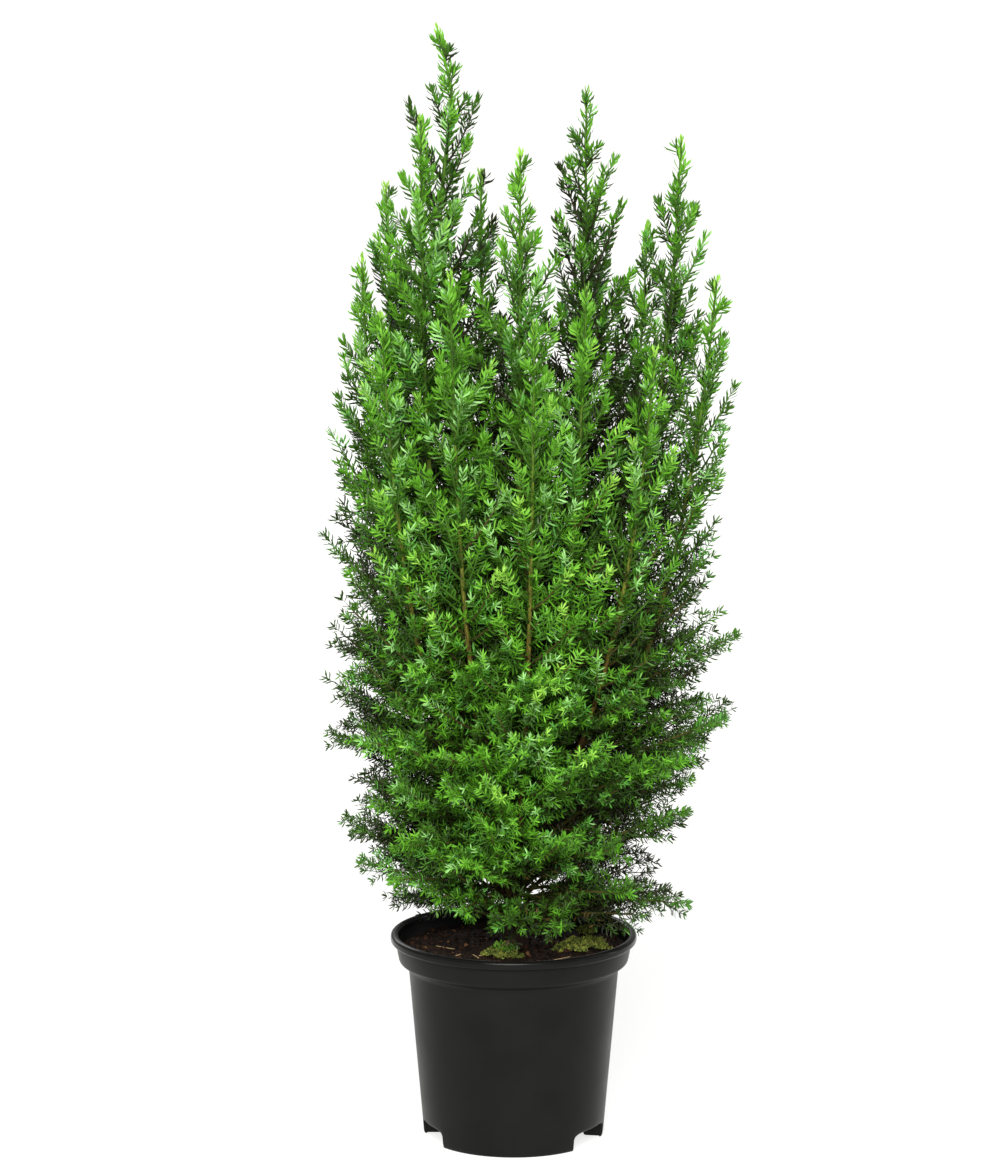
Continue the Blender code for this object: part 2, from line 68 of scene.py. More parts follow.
def mesh_piece(name, points, faces, materials, kinds=None, smooth=True):
    """One mesh object from points (n, 3) and faces (m, corners).

    kinds gives each face the number of its material in the list of materials."""
    count, corners = faces.shape
    mesh = bpy.data.meshes.new(name)
    mesh.vertices.add(len(points))
    mesh.vertices.foreach_set("co", np.asarray(points, np.float32).ravel())
    mesh.loops.add(faces.size)
    mesh.loops.foreach_set("vertex_index", np.asarray(faces, np.int32).ravel())
    mesh.polygons.add(count)
    mesh.polygons.foreach_set("loop_start", np.arange(count, dtype=np.int32) * corners)
    for material in materials:
        mesh.materials.append(material)
    if kinds is not None:
        mesh.polygons.foreach_set("material_index", np.asarray(kinds, np.int32))
    mesh.polygons.foreach_set("use_smooth", np.full(count, smooth))
    mesh.update(calc_edges=True)
    piece = bpy.data.objects.new(name, mesh)
    bpy.context.scene.collection.objects.link(piece)
    print(f"{name}: {len(points)} points, {count * (corners - 2)} triangles")
    return piece


def settle(piece, slot, *nodes):
    """Tie a piece to the body and hide the solids that it stands for. The slot, the name of its finish,
    is not used.
    """
    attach(piece, "root")
    if nodes:
        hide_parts(*nodes)
    return piece


# %% [markdown]
# A grid of points becomes faces by joining each point to the next one along its row and
# to the two above. The columns close on themselves when the surface runs right round.

# %% Join a grid of points into faces
def grid_faces(rows, columns, closed=True):
    """Quads of a grid that is numbered row by row; closed joins its last column to
    its first. They face outwards when rows go up and columns turn anticlockwise."""
    row, column = np.mgrid[0:rows - 1, 0:columns if closed else columns - 1]
    after = (column + 1) % columns
    corners = [
        row * columns + column,
        row * columns + after,
        (row + 1) * columns + after,
        (row + 1) * columns + column,
    ]
    return np.stack(corners, axis=-1).reshape(-1, 4)


def unit(vectors):
    """Each vector divided by its length."""
    return vectors / np.maximum(np.linalg.norm(vectors, axis=-1, keepdims=True), 1e-12)


def across(tangents):
    """Two unit vectors square to each tangent: one level, one that points upwards.

    A tangent within a few degrees of upright takes its level one from the X axis."""
    steep = np.abs(tangents[..., 2:3]) > 0.995
    level = np.where(steep, np.cross(tangents, AWAY), np.cross(tangents, UP))
    level = unit(level)
    return level, np.cross(level, tangents)


# %% [markdown]
# Nothing in a plant or in soil is even, so most surfaces take some roughness. Value
# noise does it: random numbers on a square lattice, blended smoothly in between. The
# lattice can repeat along one side, so that it closes round a stem without a seam.

# %% Smooth random relief
def value_noise(u, v, seed, repeat=64):
    """Value from -1 to 1 at (u, v): the lattice's four nearest numbers, blended with
    the smooth step 3t^2 - 2t^3 along each side. u repeats after the given count."""
    lattice = np.random.default_rng(seed).uniform(-1.0, 1.0, (repeat, 256))
    iu = np.floor(u).astype(int)
    iv = np.floor(v).astype(int)
    tu = u - iu
    tv = v - iv
    tu = tu * tu * (3.0 - 2.0 * tu)
    tv = tv * tv * (3.0 - 2.0 * tv)
    a = lattice[iu % repeat, iv % 256]
    b = lattice[(iu + 1) % repeat, iv % 256]
    c = lattice[iu % repeat, (iv + 1) % 256]
    d = lattice[(iu + 1) % repeat, (iv + 1) % 256]
    return (a * (1 - tu) + b * tu) * (1 - tv) + (c * (1 - tu) + d * tu) * tv


# %% [markdown]
# ## Helpers for materials
#
# Colours are written as sRGB hex values, as a paint chart gives them, and turned to the
# linear values that a shader works with. One small function adds a node, with its
# settings, its fixed values and its links.

# %% Colours and nodes
def linear(hex_colour):
    """Linear colour of an sRGB hex value: c / 12.92 below the toe, else
    ((c + 0.055) / 1.055) to the power 2.4."""
    parts = [int(hex_colour[i:i + 2], 16) / 255.0 for i in (1, 3, 5)]
    return [c / 12.92 if c <= 0.04045 else ((c + 0.055) / 1.055) ** 2.4 for c in parts] + [1.0]


def new_material(name):
    """A material with a Principled shader; returns it, its node tree and the shader."""
    material = bpy.data.materials.new(name)
    material.use_nodes = True
    tree = material.node_tree
    return material, tree, tree.nodes["Principled BSDF"]


def add_node(tree, kind, settings=None, values=None, links=None):
    """Add a node: settings are its properties, values its sockets, links its inputs."""
    node = tree.nodes.new(kind)
    for key, value in (settings or {}).items():
        setattr(node, key, value)
    for key, value in (values or {}).items():
        node.inputs[key].default_value = value
    for key, socket in (links or {}).items():
        tree.links.new(socket, node.inputs[key])
    return node


def ramp_between(tree, factor, stops):
    """Colour ramp through (place, hex colour) stops, read by a factor."""
    ramp = add_node(tree, "ShaderNodeValToRGB", links={"Fac": factor})
    while len(ramp.color_ramp.elements) < len(stops):
        ramp.color_ramp.elements.new(0.5)
    for element, (place, colour) in zip(ramp.color_ramp.elements, stops):
        element.position = place
        element.color = linear(colour)
    return ramp.outputs["Color"]


def set_shader(shader, roughness, specular=0.5, colour=None):
    """Fixed values of a plain, uncoated, non-metal finish."""
    shader.inputs["Roughness"].default_value = roughness
    shader.inputs["Specular IOR Level"].default_value = specular
    shader.inputs["Metallic"].default_value = 0.0
    if colour:
        shader.inputs["Base Color"].default_value = linear(colour)


# %% [markdown]
# ## The view
#
# The photograph looks slightly down on the plant from about 2.4 m away with a long
# lens, so upright lines stay nearly upright and the pot's rim is a slim oval. The focal
# length follows from the pot's width in the picture and that distance.

# %% Camera
CAMERA_DISTANCE = 2.4
CAMERA_HEIGHT = 0.7124
CAMERA_SIDE = -0.0072
LOOK_DOWN_DEGREES = 9.84
FOCAL_PIXELS = 4672.0
PICTURE_HEIGHT = 1168.0
SENSOR = 36.0

camera_data = bpy.data.cameras.new("camera")
camera_data.sensor_width = SENSOR
camera_data.lens = SENSOR * FOCAL_PIXELS / PICTURE_HEIGHT
camera_data.clip_end = 200.0
camera = bpy.data.objects.new("camera", camera_data)
camera.location = (CAMERA_SIDE, -CAMERA_DISTANCE, CAMERA_HEIGHT)
camera.rotation_euler = (math.radians(90.0 - LOOK_DOWN_DEGREES), 0.0, 0.0)
bpy.context.scene.collection.objects.link(camera)
bpy.context.scene.camera = camera
print("lens:", round(camera_data.lens, 1), "mm")

# %% [markdown]
# ## The studio
#
# The picture is lit softly from the front and above, on white, and the plant's left and
# right edges fall off into shade. A broad sun from over the camera's shoulder does most
# of it and lights the whole floor evenly, two large soft lamps fill in, and the dim
# surroundings leave the sides and the inside of the crown dark.
# The needles at the back, low on the sides and inside the crown are darkened further by painted shade in
# their colours, and those facing the front brightened by painted light.

# %% Floor, surroundings and lamps
floor_material, floor_tree, floor_shader = new_material("pale_paper")
set_shader(floor_shader, 0.9, 0.2, "#a2a2a1")
floor_shader.inputs["Emission Color"].default_value = linear("#ffffff")
floor_shader.inputs["Emission Strength"].default_value = 0.74
FLOOR_HALF = 60.0
floor_points = np.array([(x * FLOOR_HALF, y * FLOOR_HALF, 0.0)
                         for x, y in ((-1, -1), (1, -1), (1, 1), (-1, 1))])
floor = mesh_piece("floor", floor_points, np.array([[0, 1, 2, 3]]), [floor_material])

world = bpy.data.worlds.new("studio")
bpy.context.scene.world = world
world.use_nodes = True
world.node_tree.nodes["Background"].inputs["Color"].default_value = linear("#ffffff")
world.node_tree.nodes["Background"].inputs["Strength"].default_value = 0.34


def add_lamp(name, kind, place, energy, colour="#ffffff", size=None, spread=None):
    """A lamp that looks at the middle of the plant from its place."""
    data = bpy.data.lights.new(name, kind)
    data.energy = energy
    data.color = linear(colour)[:3]
    if size:
        data.shape = "RECTANGLE"
        data.size, data.size_y = size
    if spread:
        data.angle = math.radians(spread)
    lamp = bpy.data.objects.new(name, data)
    target = np.array([0.0, 0.0, 0.32])
    heading = target - np.array(place)
    level = math.hypot(heading[0], heading[1])
    lamp.rotation_euler = (math.atan2(level, -heading[2]), 0.0,
                           math.atan2(heading[1], heading[0]) - math.pi / 2)
    lamp.location = place
    bpy.context.scene.collection.objects.link(lamp)
    return lamp


add_lamp("key_sun", "SUN", (-0.3, -2.7, 2.2), 4.2, "#fffcf4", spread=34)
add_lamp("front_fill", "AREA", (0.5, -2.6, 1.2), 20.0, "#ffffff", size=(1.6, 1.2))
add_lamp("right_strip", "AREA", (1.5, 0.35, 0.7), 3.0, "#f4f8ff", size=(0.25, 1.5))
add_lamp("back_fill", "AREA", (-0.8, 2.6, 1.6), 12.0, "#ffffff", size=(1.6, 1.2))

bpy.context.scene.view_settings.view_transform = "Standard"
bpy.context.scene.view_settings.look = "None"

# %% [markdown]
# ## The limbs, read from the solid model
#
# Each limb of the solid model is a row of rings with a fixed number of corners. Sorted by
# height, its corners fall into those rings, and a ring's mean is a point of the limb's
# middle. So the bark, the twigs and the needles all start from the model's own limbs.

# %% Read a limb's middle and radius
def solid_corners(node):
    """The different corner points of a CAD node."""
    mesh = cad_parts[node].data
    co = np.empty(len(mesh.vertices) * 3, np.float32)
    mesh.vertices.foreach_get("co", co)
    return np.unique(np.round(co.reshape(-1, 3), 6), axis=0).astype(float)


def limb_rings(node, sides):
    """Middle (n, 3) and radius (n,) of a limb's rings, from the lowest up."""
    corners = solid_corners(node)
    corners = corners[np.argsort(corners[:, 2])]
    count = len(corners) // sides
    rings = corners[:count * sides].reshape(count, sides, 3)
    middles = rings.mean(axis=1)
    radii = np.linalg.norm(rings - middles[:, None], axis=2).mean(axis=1)
    return middles, radii


TRUNK_SIDES = 8
STEM_SIDES = 6
trunk_middles, trunk_radii = limb_rings("trunk", TRUNK_SIDES)
stem_names = sorted(n[5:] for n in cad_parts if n.startswith("stem_"))
print(len(trunk_middles), "trunk rings,", len(stem_names), "stems")

# %% [markdown]
# A stem ends where it enters its plume in the solid model. On the real plant it runs on
# to its tip, so its line is carried on: the distance that is left to the tip, seen from
# above, dies out with height at the rate at which the stem left the trunk.

# %% The line of each stem up to its tip
STEM_OUTWARD_SLOPE = 0.70


def plume_tip(name):
    """Middle of the small ring that closes a plume's top."""
    corners = solid_corners(f"foliage_{name}")
    return corners[corners[:, 2] > corners[:, 2].max() - 0.5 * MM].mean(axis=0)


def trunk_at(heights):
    """Middle of the trunk at each height, along its rings."""
    return np.stack([np.interp(heights, trunk_middles[:, 2], trunk_middles[:, axis])
                     for axis in (0, 1)] + [heights], axis=-1)


def make_leader(name):
    """What is needed to follow one stem: its lower rings, its end and its tip."""
    middles, radii = limb_rings(f"stem_{name}", STEM_SIDES)
    middles = middles[1:]
    tip = plume_tip(name)
    fork_z = frame_low_z(f"stem_{name}")
    start = trunk_at(np.array([fork_z]))[0]
    bend = np.linalg.norm(tip[:2] - start[:2]) / STEM_OUTWARD_SLOPE
    places = np.vstack([start, middles])
    return {"name": name, "places": places, "end": middles[-1], "tip": tip, "bend": bend}


def frame_low_z(node):
    """Lowest height of a CAD node."""
    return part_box(node)[0].z


def leader_at(leader, heights):
    """Middle of a stem at each height: along its solid rings, then onwards to its tip
    by left * (e^-h/b - e^-H/b) / (1 - e^-H/b), h above the end and H up to the tip."""
    if leader["name"] == "trunk":
        return trunk_at(heights)
    places, end, tip, bend = (leader[key] for key in ("places", "end", "tip", "bend"))
    low = np.stack([np.interp(heights, places[:, 2], places[:, axis]) for axis in (0, 1)], -1)
    last = math.exp(-(tip[2] - end[2]) / bend)
    left = (np.exp(-np.maximum(heights - end[2], 0.0) / bend) - last) / (1.0 - last)
    high = tip[:2] + (end[:2] - tip[:2]) * np.maximum(left, 0.0)[:, None]
    plan = np.where((heights < end[2])[:, None], low, high)
    return np.concatenate([plan, heights[:, None]], axis=1)


leaders = [make_leader(name) for name in stem_names]
leaders.append({"name": "trunk", "tip": trunk_middles[-1], "places": trunk_middles})
for leader in leaders:
    print(leader["name"], "tip at", [round(v * 1000) for v in leader["tip"]], "mm")

# %% [markdown]
# ## Colours of the needles
#
# The plant is bright yellow-green at its growing tips, full green outside and deep green
# inside, and many of the level sprays show a pale bluish bloom. The steps from shade to
# bright are largely painted light and shade: the darker ones stand for the shade inside
# the crown and at its back and low sides, the brighter ones for the light on its outside
# and front, and the paler bloom is painted highlight on the bloom. Each colour is a plain
# one with no pattern, and whole sprays are given one or another by where they grow.
# Needles have a thin wax, so they keep a soft shine.

# %% Plain colours for needles and young shoots
# The steps from needle_shade to needle_bright are painted shade and painted light as much as colour, and
# the paler bloom colour is the bloom with painted highlight.
NEEDLE_COLOURS = {
    "needle_shade": "#20290c",
    "needle_deep": "#2b480f",
    "needle_mid": "#3d6b15",
    "needle_fresh": "#528f1c",
    "needle_bright": "#6cab33",
    "needle_tip": "#88bd45",
    "needle_bloom": "#4e8f36",
    "needle_bloom_painted_highlight": "#8abf70",
    "needle_dry": "#5e4824",
}
NEEDLE_KINDS = list(NEEDLE_COLOURS)
SHADE, DEEP, MID, FRESH, BRIGHT, TIP, BLOOM, BLOOM_PAINTED_HIGHLIGHT, DRY = range(len(NEEDLE_KINDS))


def plain_material(name, colour, roughness, specular=0.5):
    """A finish of one plain colour."""
    material, _, shader = new_material(name)
    set_shader(shader, roughness, specular, colour)
    return material


needle_materials = [plain_material(name, colour, 0.46, 0.26)
                    for name, colour in NEEDLE_COLOURS.items()]
TWIG_COLOURS = {"twig_brown": "#4a451c", "twig_green": "#426a1b", "twig_shade": "#242010"}
TWIG_BROWN, TWIG_GREEN, TWIG_SHADE = range(len(TWIG_COLOURS))
twig_materials = [plain_material(name, colour, 0.7, 0.3) for name, colour in TWIG_COLOURS.items()]
print(len(needle_materials), "needle colours,", len(twig_materials), "twig colours")

# %% [markdown]
# ## How a shoot grows
#
# Every shoot is one curve: it starts at its base in its heading and bends as it goes, so
# a share t along it lies at base + length * (heading * t + bend * t^2). A whole order of
# shoots is kept as arrays, one row for each shoot, and the next order grows from it at
# stations along each one. This way nine orders of ten thousand shoots take a moment.

# %% Shoots as arrays
def make_shoots(base, heading, bend, length, tone, outward, order, group):
    """One set of shoots: arrays with a row for each shoot."""
    return {"base": base, "heading": unit(heading), "bend": bend, "length": length,
            "tone": tone, "outward": outward, "order": order, "group": group}


def join_shoots(sets):
    """Several sets of shoots as one."""
    return {key: np.concatenate([s[key] for s in sets]) for key in sets[0]}


def shoot_at(shoots, pick, t):
    """Point and unit tangent at share t of each picked shoot."""
    heading = shoots["heading"][pick]
    bend = shoots["bend"][pick]
    length = shoots["length"][pick][:, None]
    point = shoots["base"][pick] + length * (heading * t[:, None] + bend * t[:, None] ** 2)
    return point, unit(heading + 2.0 * bend * t[:, None])


def stations(lengths, spacing, first, last, rng):
    """Places along shoots: which shoot, its share t, and the station's number.

    Each shoot has one station for each spacing of its length between the shares
    first and last, moved by up to a quarter of a step."""
    counts = np.maximum(np.round(lengths * (last - first) / spacing), 0).astype(int)
    pick = np.repeat(np.arange(len(lengths)), counts)
    number = np.arange(counts.sum()) - np.repeat(np.cumsum(counts) - counts, counts)
    moved = number + 0.5 + rng.uniform(-0.25, 0.25, len(pick))
    last = np.broadcast_to(last, len(lengths))[pick]
    t = first + (last - first) * moved / counts[pick]
    return pick, t, number


# %% [markdown]
# Side shoots of a spray leave to the left and to the right by turns, nearly in one plane,
# like the barbs of a feather, and get shorter towards its tip. On an upright shoot they
# leave all round it instead.

# %% The next order of shoots
PLANE_TILT = 1.7


def side_shoots(parents, spacing, first, last, spread, reach, least, flat, rng):
    """Shoots that grow from the sides of other shoots.

    spread is the mean angle to the parent in degrees, reach the length of the lowest
    one as a share of its parent's, and flat the width of the plane in degrees."""
    pick, t, number = stations(parents["length"], spacing, first, last, rng)
    point, tangent = shoot_at(parents, pick, t)
    level, rise = across(tangent)
    flatness = np.radians(flat[pick] if np.ndim(flat) else flat)
    turn = np.where(number % 2 == 0, 0.0, np.pi) + rng.uniform(-1.0, 1.0, len(pick)) * flatness
    turn = turn + (parents["tone"][pick] - 0.5) * PLANE_TILT
    radial = level * np.cos(turn)[:, None] + rise * np.sin(turn)[:, None]
    spread = spread[pick] if np.ndim(spread) else spread
    angle = np.radians(spread + rng.uniform(-8.0, 8.0, len(pick)) - 12.0 * t)
    heading = tangent * np.cos(angle)[:, None] + radial * np.sin(angle)[:, None]
    taper = (1.0 - (t - first) / (1.02 - first)) ** 0.75
    share = reach[pick] if np.ndim(reach) else reach
    length = parents["length"][pick] * share * taper * rng.uniform(0.7, 1.15, len(pick)) + least
    bend = tangent * 0.14 + UP * rng.uniform(0.0, 0.12, (len(pick), 1))
    tone = 0.45 * parents["tone"][pick] + 0.55 * rng.uniform(0.0, 1.0, len(pick))
    return make_shoots(point, heading, bend, length, tone, parents["outward"][pick],
                       parents["order"][pick] + 1, parents["group"][pick])


# %% [markdown]
# ## Side shoots of the stems
#
# Near a tip the side shoots are short, few and steep. Lower down they are longer, closer
# and more level, and they carry side shoots of their own. Each one stops about half way
# to the next stem, so that the plumes stand apart at the top and close up below.

# %% Rules of the plumes
DEPTHS = np.array([0, 20, 36, 50, 70, 100, 140, 200, 260, 400]) * MM
SIDE_LENGTH = np.array([4, 6, 9, 15, 25, 29, 32, 40, 50, 54]) * MM
SIDE_ANGLE = np.array([28, 32, 34, 36, 38, 42, 50, 60, 68, 72])
SIDE_RISE = np.array([0.05, 0.05, 0.10, 0.25, 0.38, 0.42, 0.40, 0.24, 0.14, 0.10])
SIDE_SPACING = np.array([8, 9, 10, 9, 8, 6, 4.2, 3.3, 3.1, 3.3]) * MM
BUD_LENGTH_SHARE = np.array([0.30, 0.30, 0.26, 0.20, 0.17, 0.20, 0.30, 0.36, 0.36, 0.36])
GOLDEN_TURN = math.radians(137.5)
FIRST_SHOOT_DEPTH = 9 * MM
CROWN_RIGHT = 0.114
CROWN_LEFT = 0.103
CROWN_DEPTH = 0.096


def oval_share(points):
    """How far out a point is: 0 on the crown's middle line and 1 on its oval edge."""
    middle = (CROWN_RIGHT - CROWN_LEFT) / 2
    half = (CROWN_RIGHT + CROWN_LEFT) / 2
    return np.hypot((points[:, 0] - middle) / half, points[:, 1] / CROWN_DEPTH)


def free_reach(name, points, heading):
    """Level distance from each point, along its heading, to half way to the nearest
    other stem: |d|^2 / (2 d.h), where d leads to the other stem at that height."""
    reach = np.full(len(points), 1.0)
    for other in leaders:
        if other["name"] == name:
            continue
        there = leader_at(other, np.minimum(points[:, 2], other["tip"][2]))
        toward = there[:, :2] - points[:, :2]
        along = np.einsum("ij,ij->i", toward, heading[:, :2])
        near = points[:, 2] < other["tip"][2] + 10 * MM
        limit = np.einsum("ij,ij->i", toward, toward) / np.maximum(2.0 * along, 1e-9)
        reach = np.where(near & (along > 1e-6), np.minimum(reach, limit), reach)
    return reach


# %% Grow the side shoots of one stem
def depth_stations(top, bottom, rng):
    """Depths below the tip at which side shoots grow, spaced by the rule above."""
    table = np.linspace(top, bottom, 400)
    steps = 1.0 / np.interp(table, DEPTHS, SIDE_SPACING)
    grown = np.concatenate([[0.0], np.cumsum(np.diff(table) * (steps[1:] + steps[:-1]) / 2)])
    wanted = np.arange(int(grown[-1])) + rng.uniform(0.2, 0.8, int(grown[-1]))
    return np.interp(wanted, grown, table)


def plume_shoots(leader, lowest_z, group, rng):
    """Side shoots of one stem from just under its tip down to a height."""
    depth = depth_stations(FIRST_SHOOT_DEPTH, leader["tip"][2] - lowest_z, rng)
    heights = leader["tip"][2] - depth
    base = leader_at(leader, heights)
    tangent = unit(leader_at(leader, heights + MM) - base)
    turn = rng.uniform(0, 2 * np.pi) + GOLDEN_TURN * np.arange(len(depth))
    turn += rng.uniform(-0.4, 0.4, len(depth))
    level = np.stack([np.cos(turn), np.sin(turn), np.zeros(len(turn))], axis=1)
    angle = np.radians(np.interp(depth, DEPTHS, SIDE_ANGLE) + rng.uniform(-8, 8, len(depth)))
    heading = tangent * np.cos(angle)[:, None] + level * np.sin(angle)[:, None]
    length = np.interp(depth, DEPTHS, SIDE_LENGTH) * rng.uniform(0.70, 1.15, len(depth))
    facing = np.einsum("ij,ij->i", unit(base[:, :2]), level[:, :2])
    length = length * (1.0 + 0.12 * facing * np.clip(depth / 0.2, 0.0, 1.0))
    reach = free_reach(leader["name"], base, level)
    length = np.minimum(length, (reach * 1.4 + 6 * MM) / np.sin(angle))
    edge = base + heading * length[:, None]
    beyond = np.maximum(oval_share(edge) - rng.uniform(0.9, 1.06, len(depth)), 0.0)
    length = length * (1.0 - np.minimum(beyond * 1.6, 0.5))
    rise = np.interp(depth, DEPTHS, SIDE_RISE)
    bend = UP * (rise * rng.uniform(0.6, 1.3, len(depth)))[:, None]
    outward = oval_share(base + heading * length[:, None] * 0.7)
    tone = rng.uniform(0.0, 1.0, len(depth))
    order = np.ones(len(depth), int)
    shoots = make_shoots(base, heading, bend, length, tone, outward, order,
                         np.full(len(depth), group))
    return shoots, np.interp(depth, DEPTHS, BUD_LENGTH_SHARE)


# %% [markdown]
# The plumes are shared out over a few groups by where they stand, because each joined
# mesh has to stay a handy size. All of one group's needles make one piece.

# %% Groups of plumes
GROUPS = {
    "left": ["left", "far_left", "front_left", "left_front"],
    "middle": ["trunk", "centre", "centre_right", "back_left_inner"],
    "front": ["front", "front_centre", "front_left_inner"],
    "right": ["right", "far_right", "front_right"],
    "back": ["back_left", "back_centre", "back_right", "right_back"],
}
GROUP_NAMES = list(GROUPS)
LOW_GROUP = len(GROUP_NAMES)
PLUME_FOOT_Z = {"outer": 0.135, "inner": 0.165}
group_of = {name: GROUP_NAMES.index(g) for g, names in GROUPS.items() for name in names}
shoot_rng = np.random.default_rng(11)

first_order, bud_shares = [], []
for leader in leaders:
    outer = oval_share(leader["tip"][None])[0] > 0.66
    lowest = PLUME_FOOT_Z["outer" if outer else "inner"]
    shoots, bud_share = plume_shoots(leader, lowest, group_of[leader["name"]], shoot_rng)
    first_order.append(shoots)
    bud_shares.append(bud_share)
plume_first = join_shoots(first_order)
steepness = np.clip((plume_first["heading"][:, 2] - 0.35) / 0.4, 0.0, 1.0)
plume_second = side_shoots(plume_first, (4.0 + 5.0 * steepness) * MM, 0.12,
                           0.66 + 0.22 * steepness,
                           50.0 - 16.0 * steepness, np.concatenate(bud_shares), 3.0 * MM,
                           50.0 + 40.0 * steepness, shoot_rng)
print(len(plume_first["base"]), "side shoots,", len(plume_second["base"]), "smaller ones")

# %% [markdown]
# ## Low sprays over the rim
#
# Under the plumes, branches leave the foot of the trunk on all sides. They run out level
# to the edge of the crown and carry flat sprays, bare near the trunk and feathery
# outside. These hide where the trunk meets the soil.

# %% Grow the low branches
LOW_BRANCHES = 86
LOW_FROM_Z = 0.113
LOW_TO_Z = 0.235
APRON_SHOOTS = 32
RIGHT_BULGE = 0.09
low_rng = np.random.default_rng(23)


def low_branches(count, rng):
    """Level branches from round the trunk to the oval edge of the crown."""
    share = (np.arange(count) + 0.5) / count
    turn = GOLDEN_TURN * np.arange(count) + rng.uniform(-0.15, 0.15, count)
    height = LOW_FROM_Z + (LOW_TO_Z - LOW_FROM_Z) * share ** 1.3
    start = (5.0 + 26.0 * share ** 1.5) * MM
    level = np.stack([np.cos(turn), np.sin(turn), np.zeros(count)], axis=1)
    base = level * start[:, None] + UP * height[:, None]
    middle = (CROWN_RIGHT - CROWN_LEFT) / 2
    half = (CROWN_RIGHT + CROWN_LEFT) / 2
    edge = np.stack([middle + half * np.cos(turn), CROWN_DEPTH * np.sin(turn)], axis=1)
    reach = np.linalg.norm(edge, axis=1) * rng.uniform(0.80, 0.99, count) - start
    reach = reach * np.interp(height, [LOW_FROM_Z, 0.15, 0.19], [0.84, 0.94, 1.0])
    reach = reach * (1.0 + RIGHT_BULGE * np.clip(level[:, 0], 0.0, 1.0) * (height > 0.15))
    rise = np.radians(rng.uniform(6, 42, count) + 6 * share)
    heading = level * np.cos(rise)[:, None] + UP * np.sin(rise)[:, None]
    sag = rng.uniform(-0.18, 0.02, count)
    bend = UP * sag[:, None]
    outward = np.full(count, 0.75)
    return make_shoots(base, heading, bend, reach / np.cos(rise), rng.uniform(0, 1, count),
                       outward, np.ones(count, int), np.full(count, LOW_GROUP))


def apron_shoots(count, rng):
    """Short level shoots from the foot of the trunk, which hang a little at the tip
    and close the crown's underside."""
    turn = GOLDEN_TURN * np.arange(count) + rng.uniform(-0.2, 0.2, count)
    level = np.stack([np.cos(turn), np.sin(turn), np.zeros(count)], axis=1)
    base = level * 5 * MM + UP * rng.uniform(0.118, 0.155, (count, 1))
    rise = np.radians(rng.uniform(8, 34, count))
    heading = level * np.cos(rise)[:, None] + UP * np.sin(rise)[:, None]
    bend = UP * rng.uniform(-0.24, -0.10, (count, 1))
    length = rng.uniform(30, 58, count) * MM
    return make_shoots(base, heading, bend, length, rng.uniform(0, 1, count),
                       np.full(count, 0.6), np.ones(count, int), np.full(count, LOW_GROUP))


low_first = join_shoots([low_branches(LOW_BRANCHES, low_rng),
                         apron_shoots(APRON_SHOOTS, low_rng)])
low_second = side_shoots(low_first, 4.6 * MM, 0.24, 0.90, 44, 0.24, 7.0 * MM, 50.0, low_rng)
low_second["outward"] = oval_share(low_second["base"])
low_third = side_shoots(low_second, 5.4 * MM, 0.14, 0.60, 48, 0.30, 3.6 * MM, 45.0, low_rng)
print(len(low_first["base"]), "low branches,", len(low_second["base"]), "sprays,",
      len(low_third["base"]), "smaller ones")

# %% [markdown]
# ## Needles
#
# A needle is a narrow strip with a pointed end. It keeps nearly one width along most of
# its length, bows outwards a little and curls in at the tip, and it is turned by chance
# about its own length, so that some catch the light and others show their edge. It takes
# five points and three triangles: two points at the base, two at the shoulder where the
# point begins, and the tip. Needles grow in pairs, each pair a quarter turn on from the
# last, and lean forwards more and more towards the shoot's tip.

# %% One needle's shape, for many at once
NEEDLE_SHOULDER = 0.66
NEEDLE_BOW = 0.045
NEEDLE_CURL = 0.05
NEEDLE_BASE_WIDTH = 0.62
NEEDLE_FACES = np.array([[0, 1, 2], [0, 2, 3], [3, 2, 4]])


def needle_points(place, tangent, turn, lean, length, width, roll):
    """Points (n, 5, 3) of needles on shoots.

    A needle leaves the shoot at the angle lean from its tangent, turned round it by
    turn, and rolls about its own length by roll. Its shoulder lies out from the
    straight line by its bow, and its tip lies in by its curl."""
    level, rise = across(tangent)
    radial = level * np.cos(turn)[:, None] + rise * np.sin(turn)[:, None]
    cos = np.cos(lean)[:, None]
    sin = np.sin(lean)[:, None]
    heading = tangent * cos + radial * sin
    outer = radial * cos - tangent * sin
    level_side = np.cross(heading, outer)
    side = level_side * np.cos(roll)[:, None] + outer * np.sin(roll)[:, None]
    length = length[:, None]
    half = width[:, None] / 2
    shoulder = place + heading * length * NEEDLE_SHOULDER + outer * length * NEEDLE_BOW
    tip = place + heading * length - outer * length * NEEDLE_CURL
    return np.stack([
        place - side * half * NEEDLE_BASE_WIDTH,
        place + side * half * NEEDLE_BASE_WIDTH,
        shoulder + side * half,
        shoulder - side * half,
        tip,
    ], axis=1)


# %% [markdown]
# The colour of a shoot's needles follows from its place, and much of it is painted light
# and shade: painted shade inside the crown, deep and mid green further out, fresh and
# bright at the outside, brighter as painted light on the side that faces the front and
# darker as painted shade at the back and low on the sides, and the top toned down a step
# as painted shade against the strong light from above. The last few millimetres of a
# growing shoot are the brightest. A share of the lower sprays takes the bluish bloom, and
# on the brighter needles its paler colour is painted highlight.

# %% Deal the colours out
BLOOM_BELOW_Z = 0.40
TIP_LENGTH = 5.0 * MM


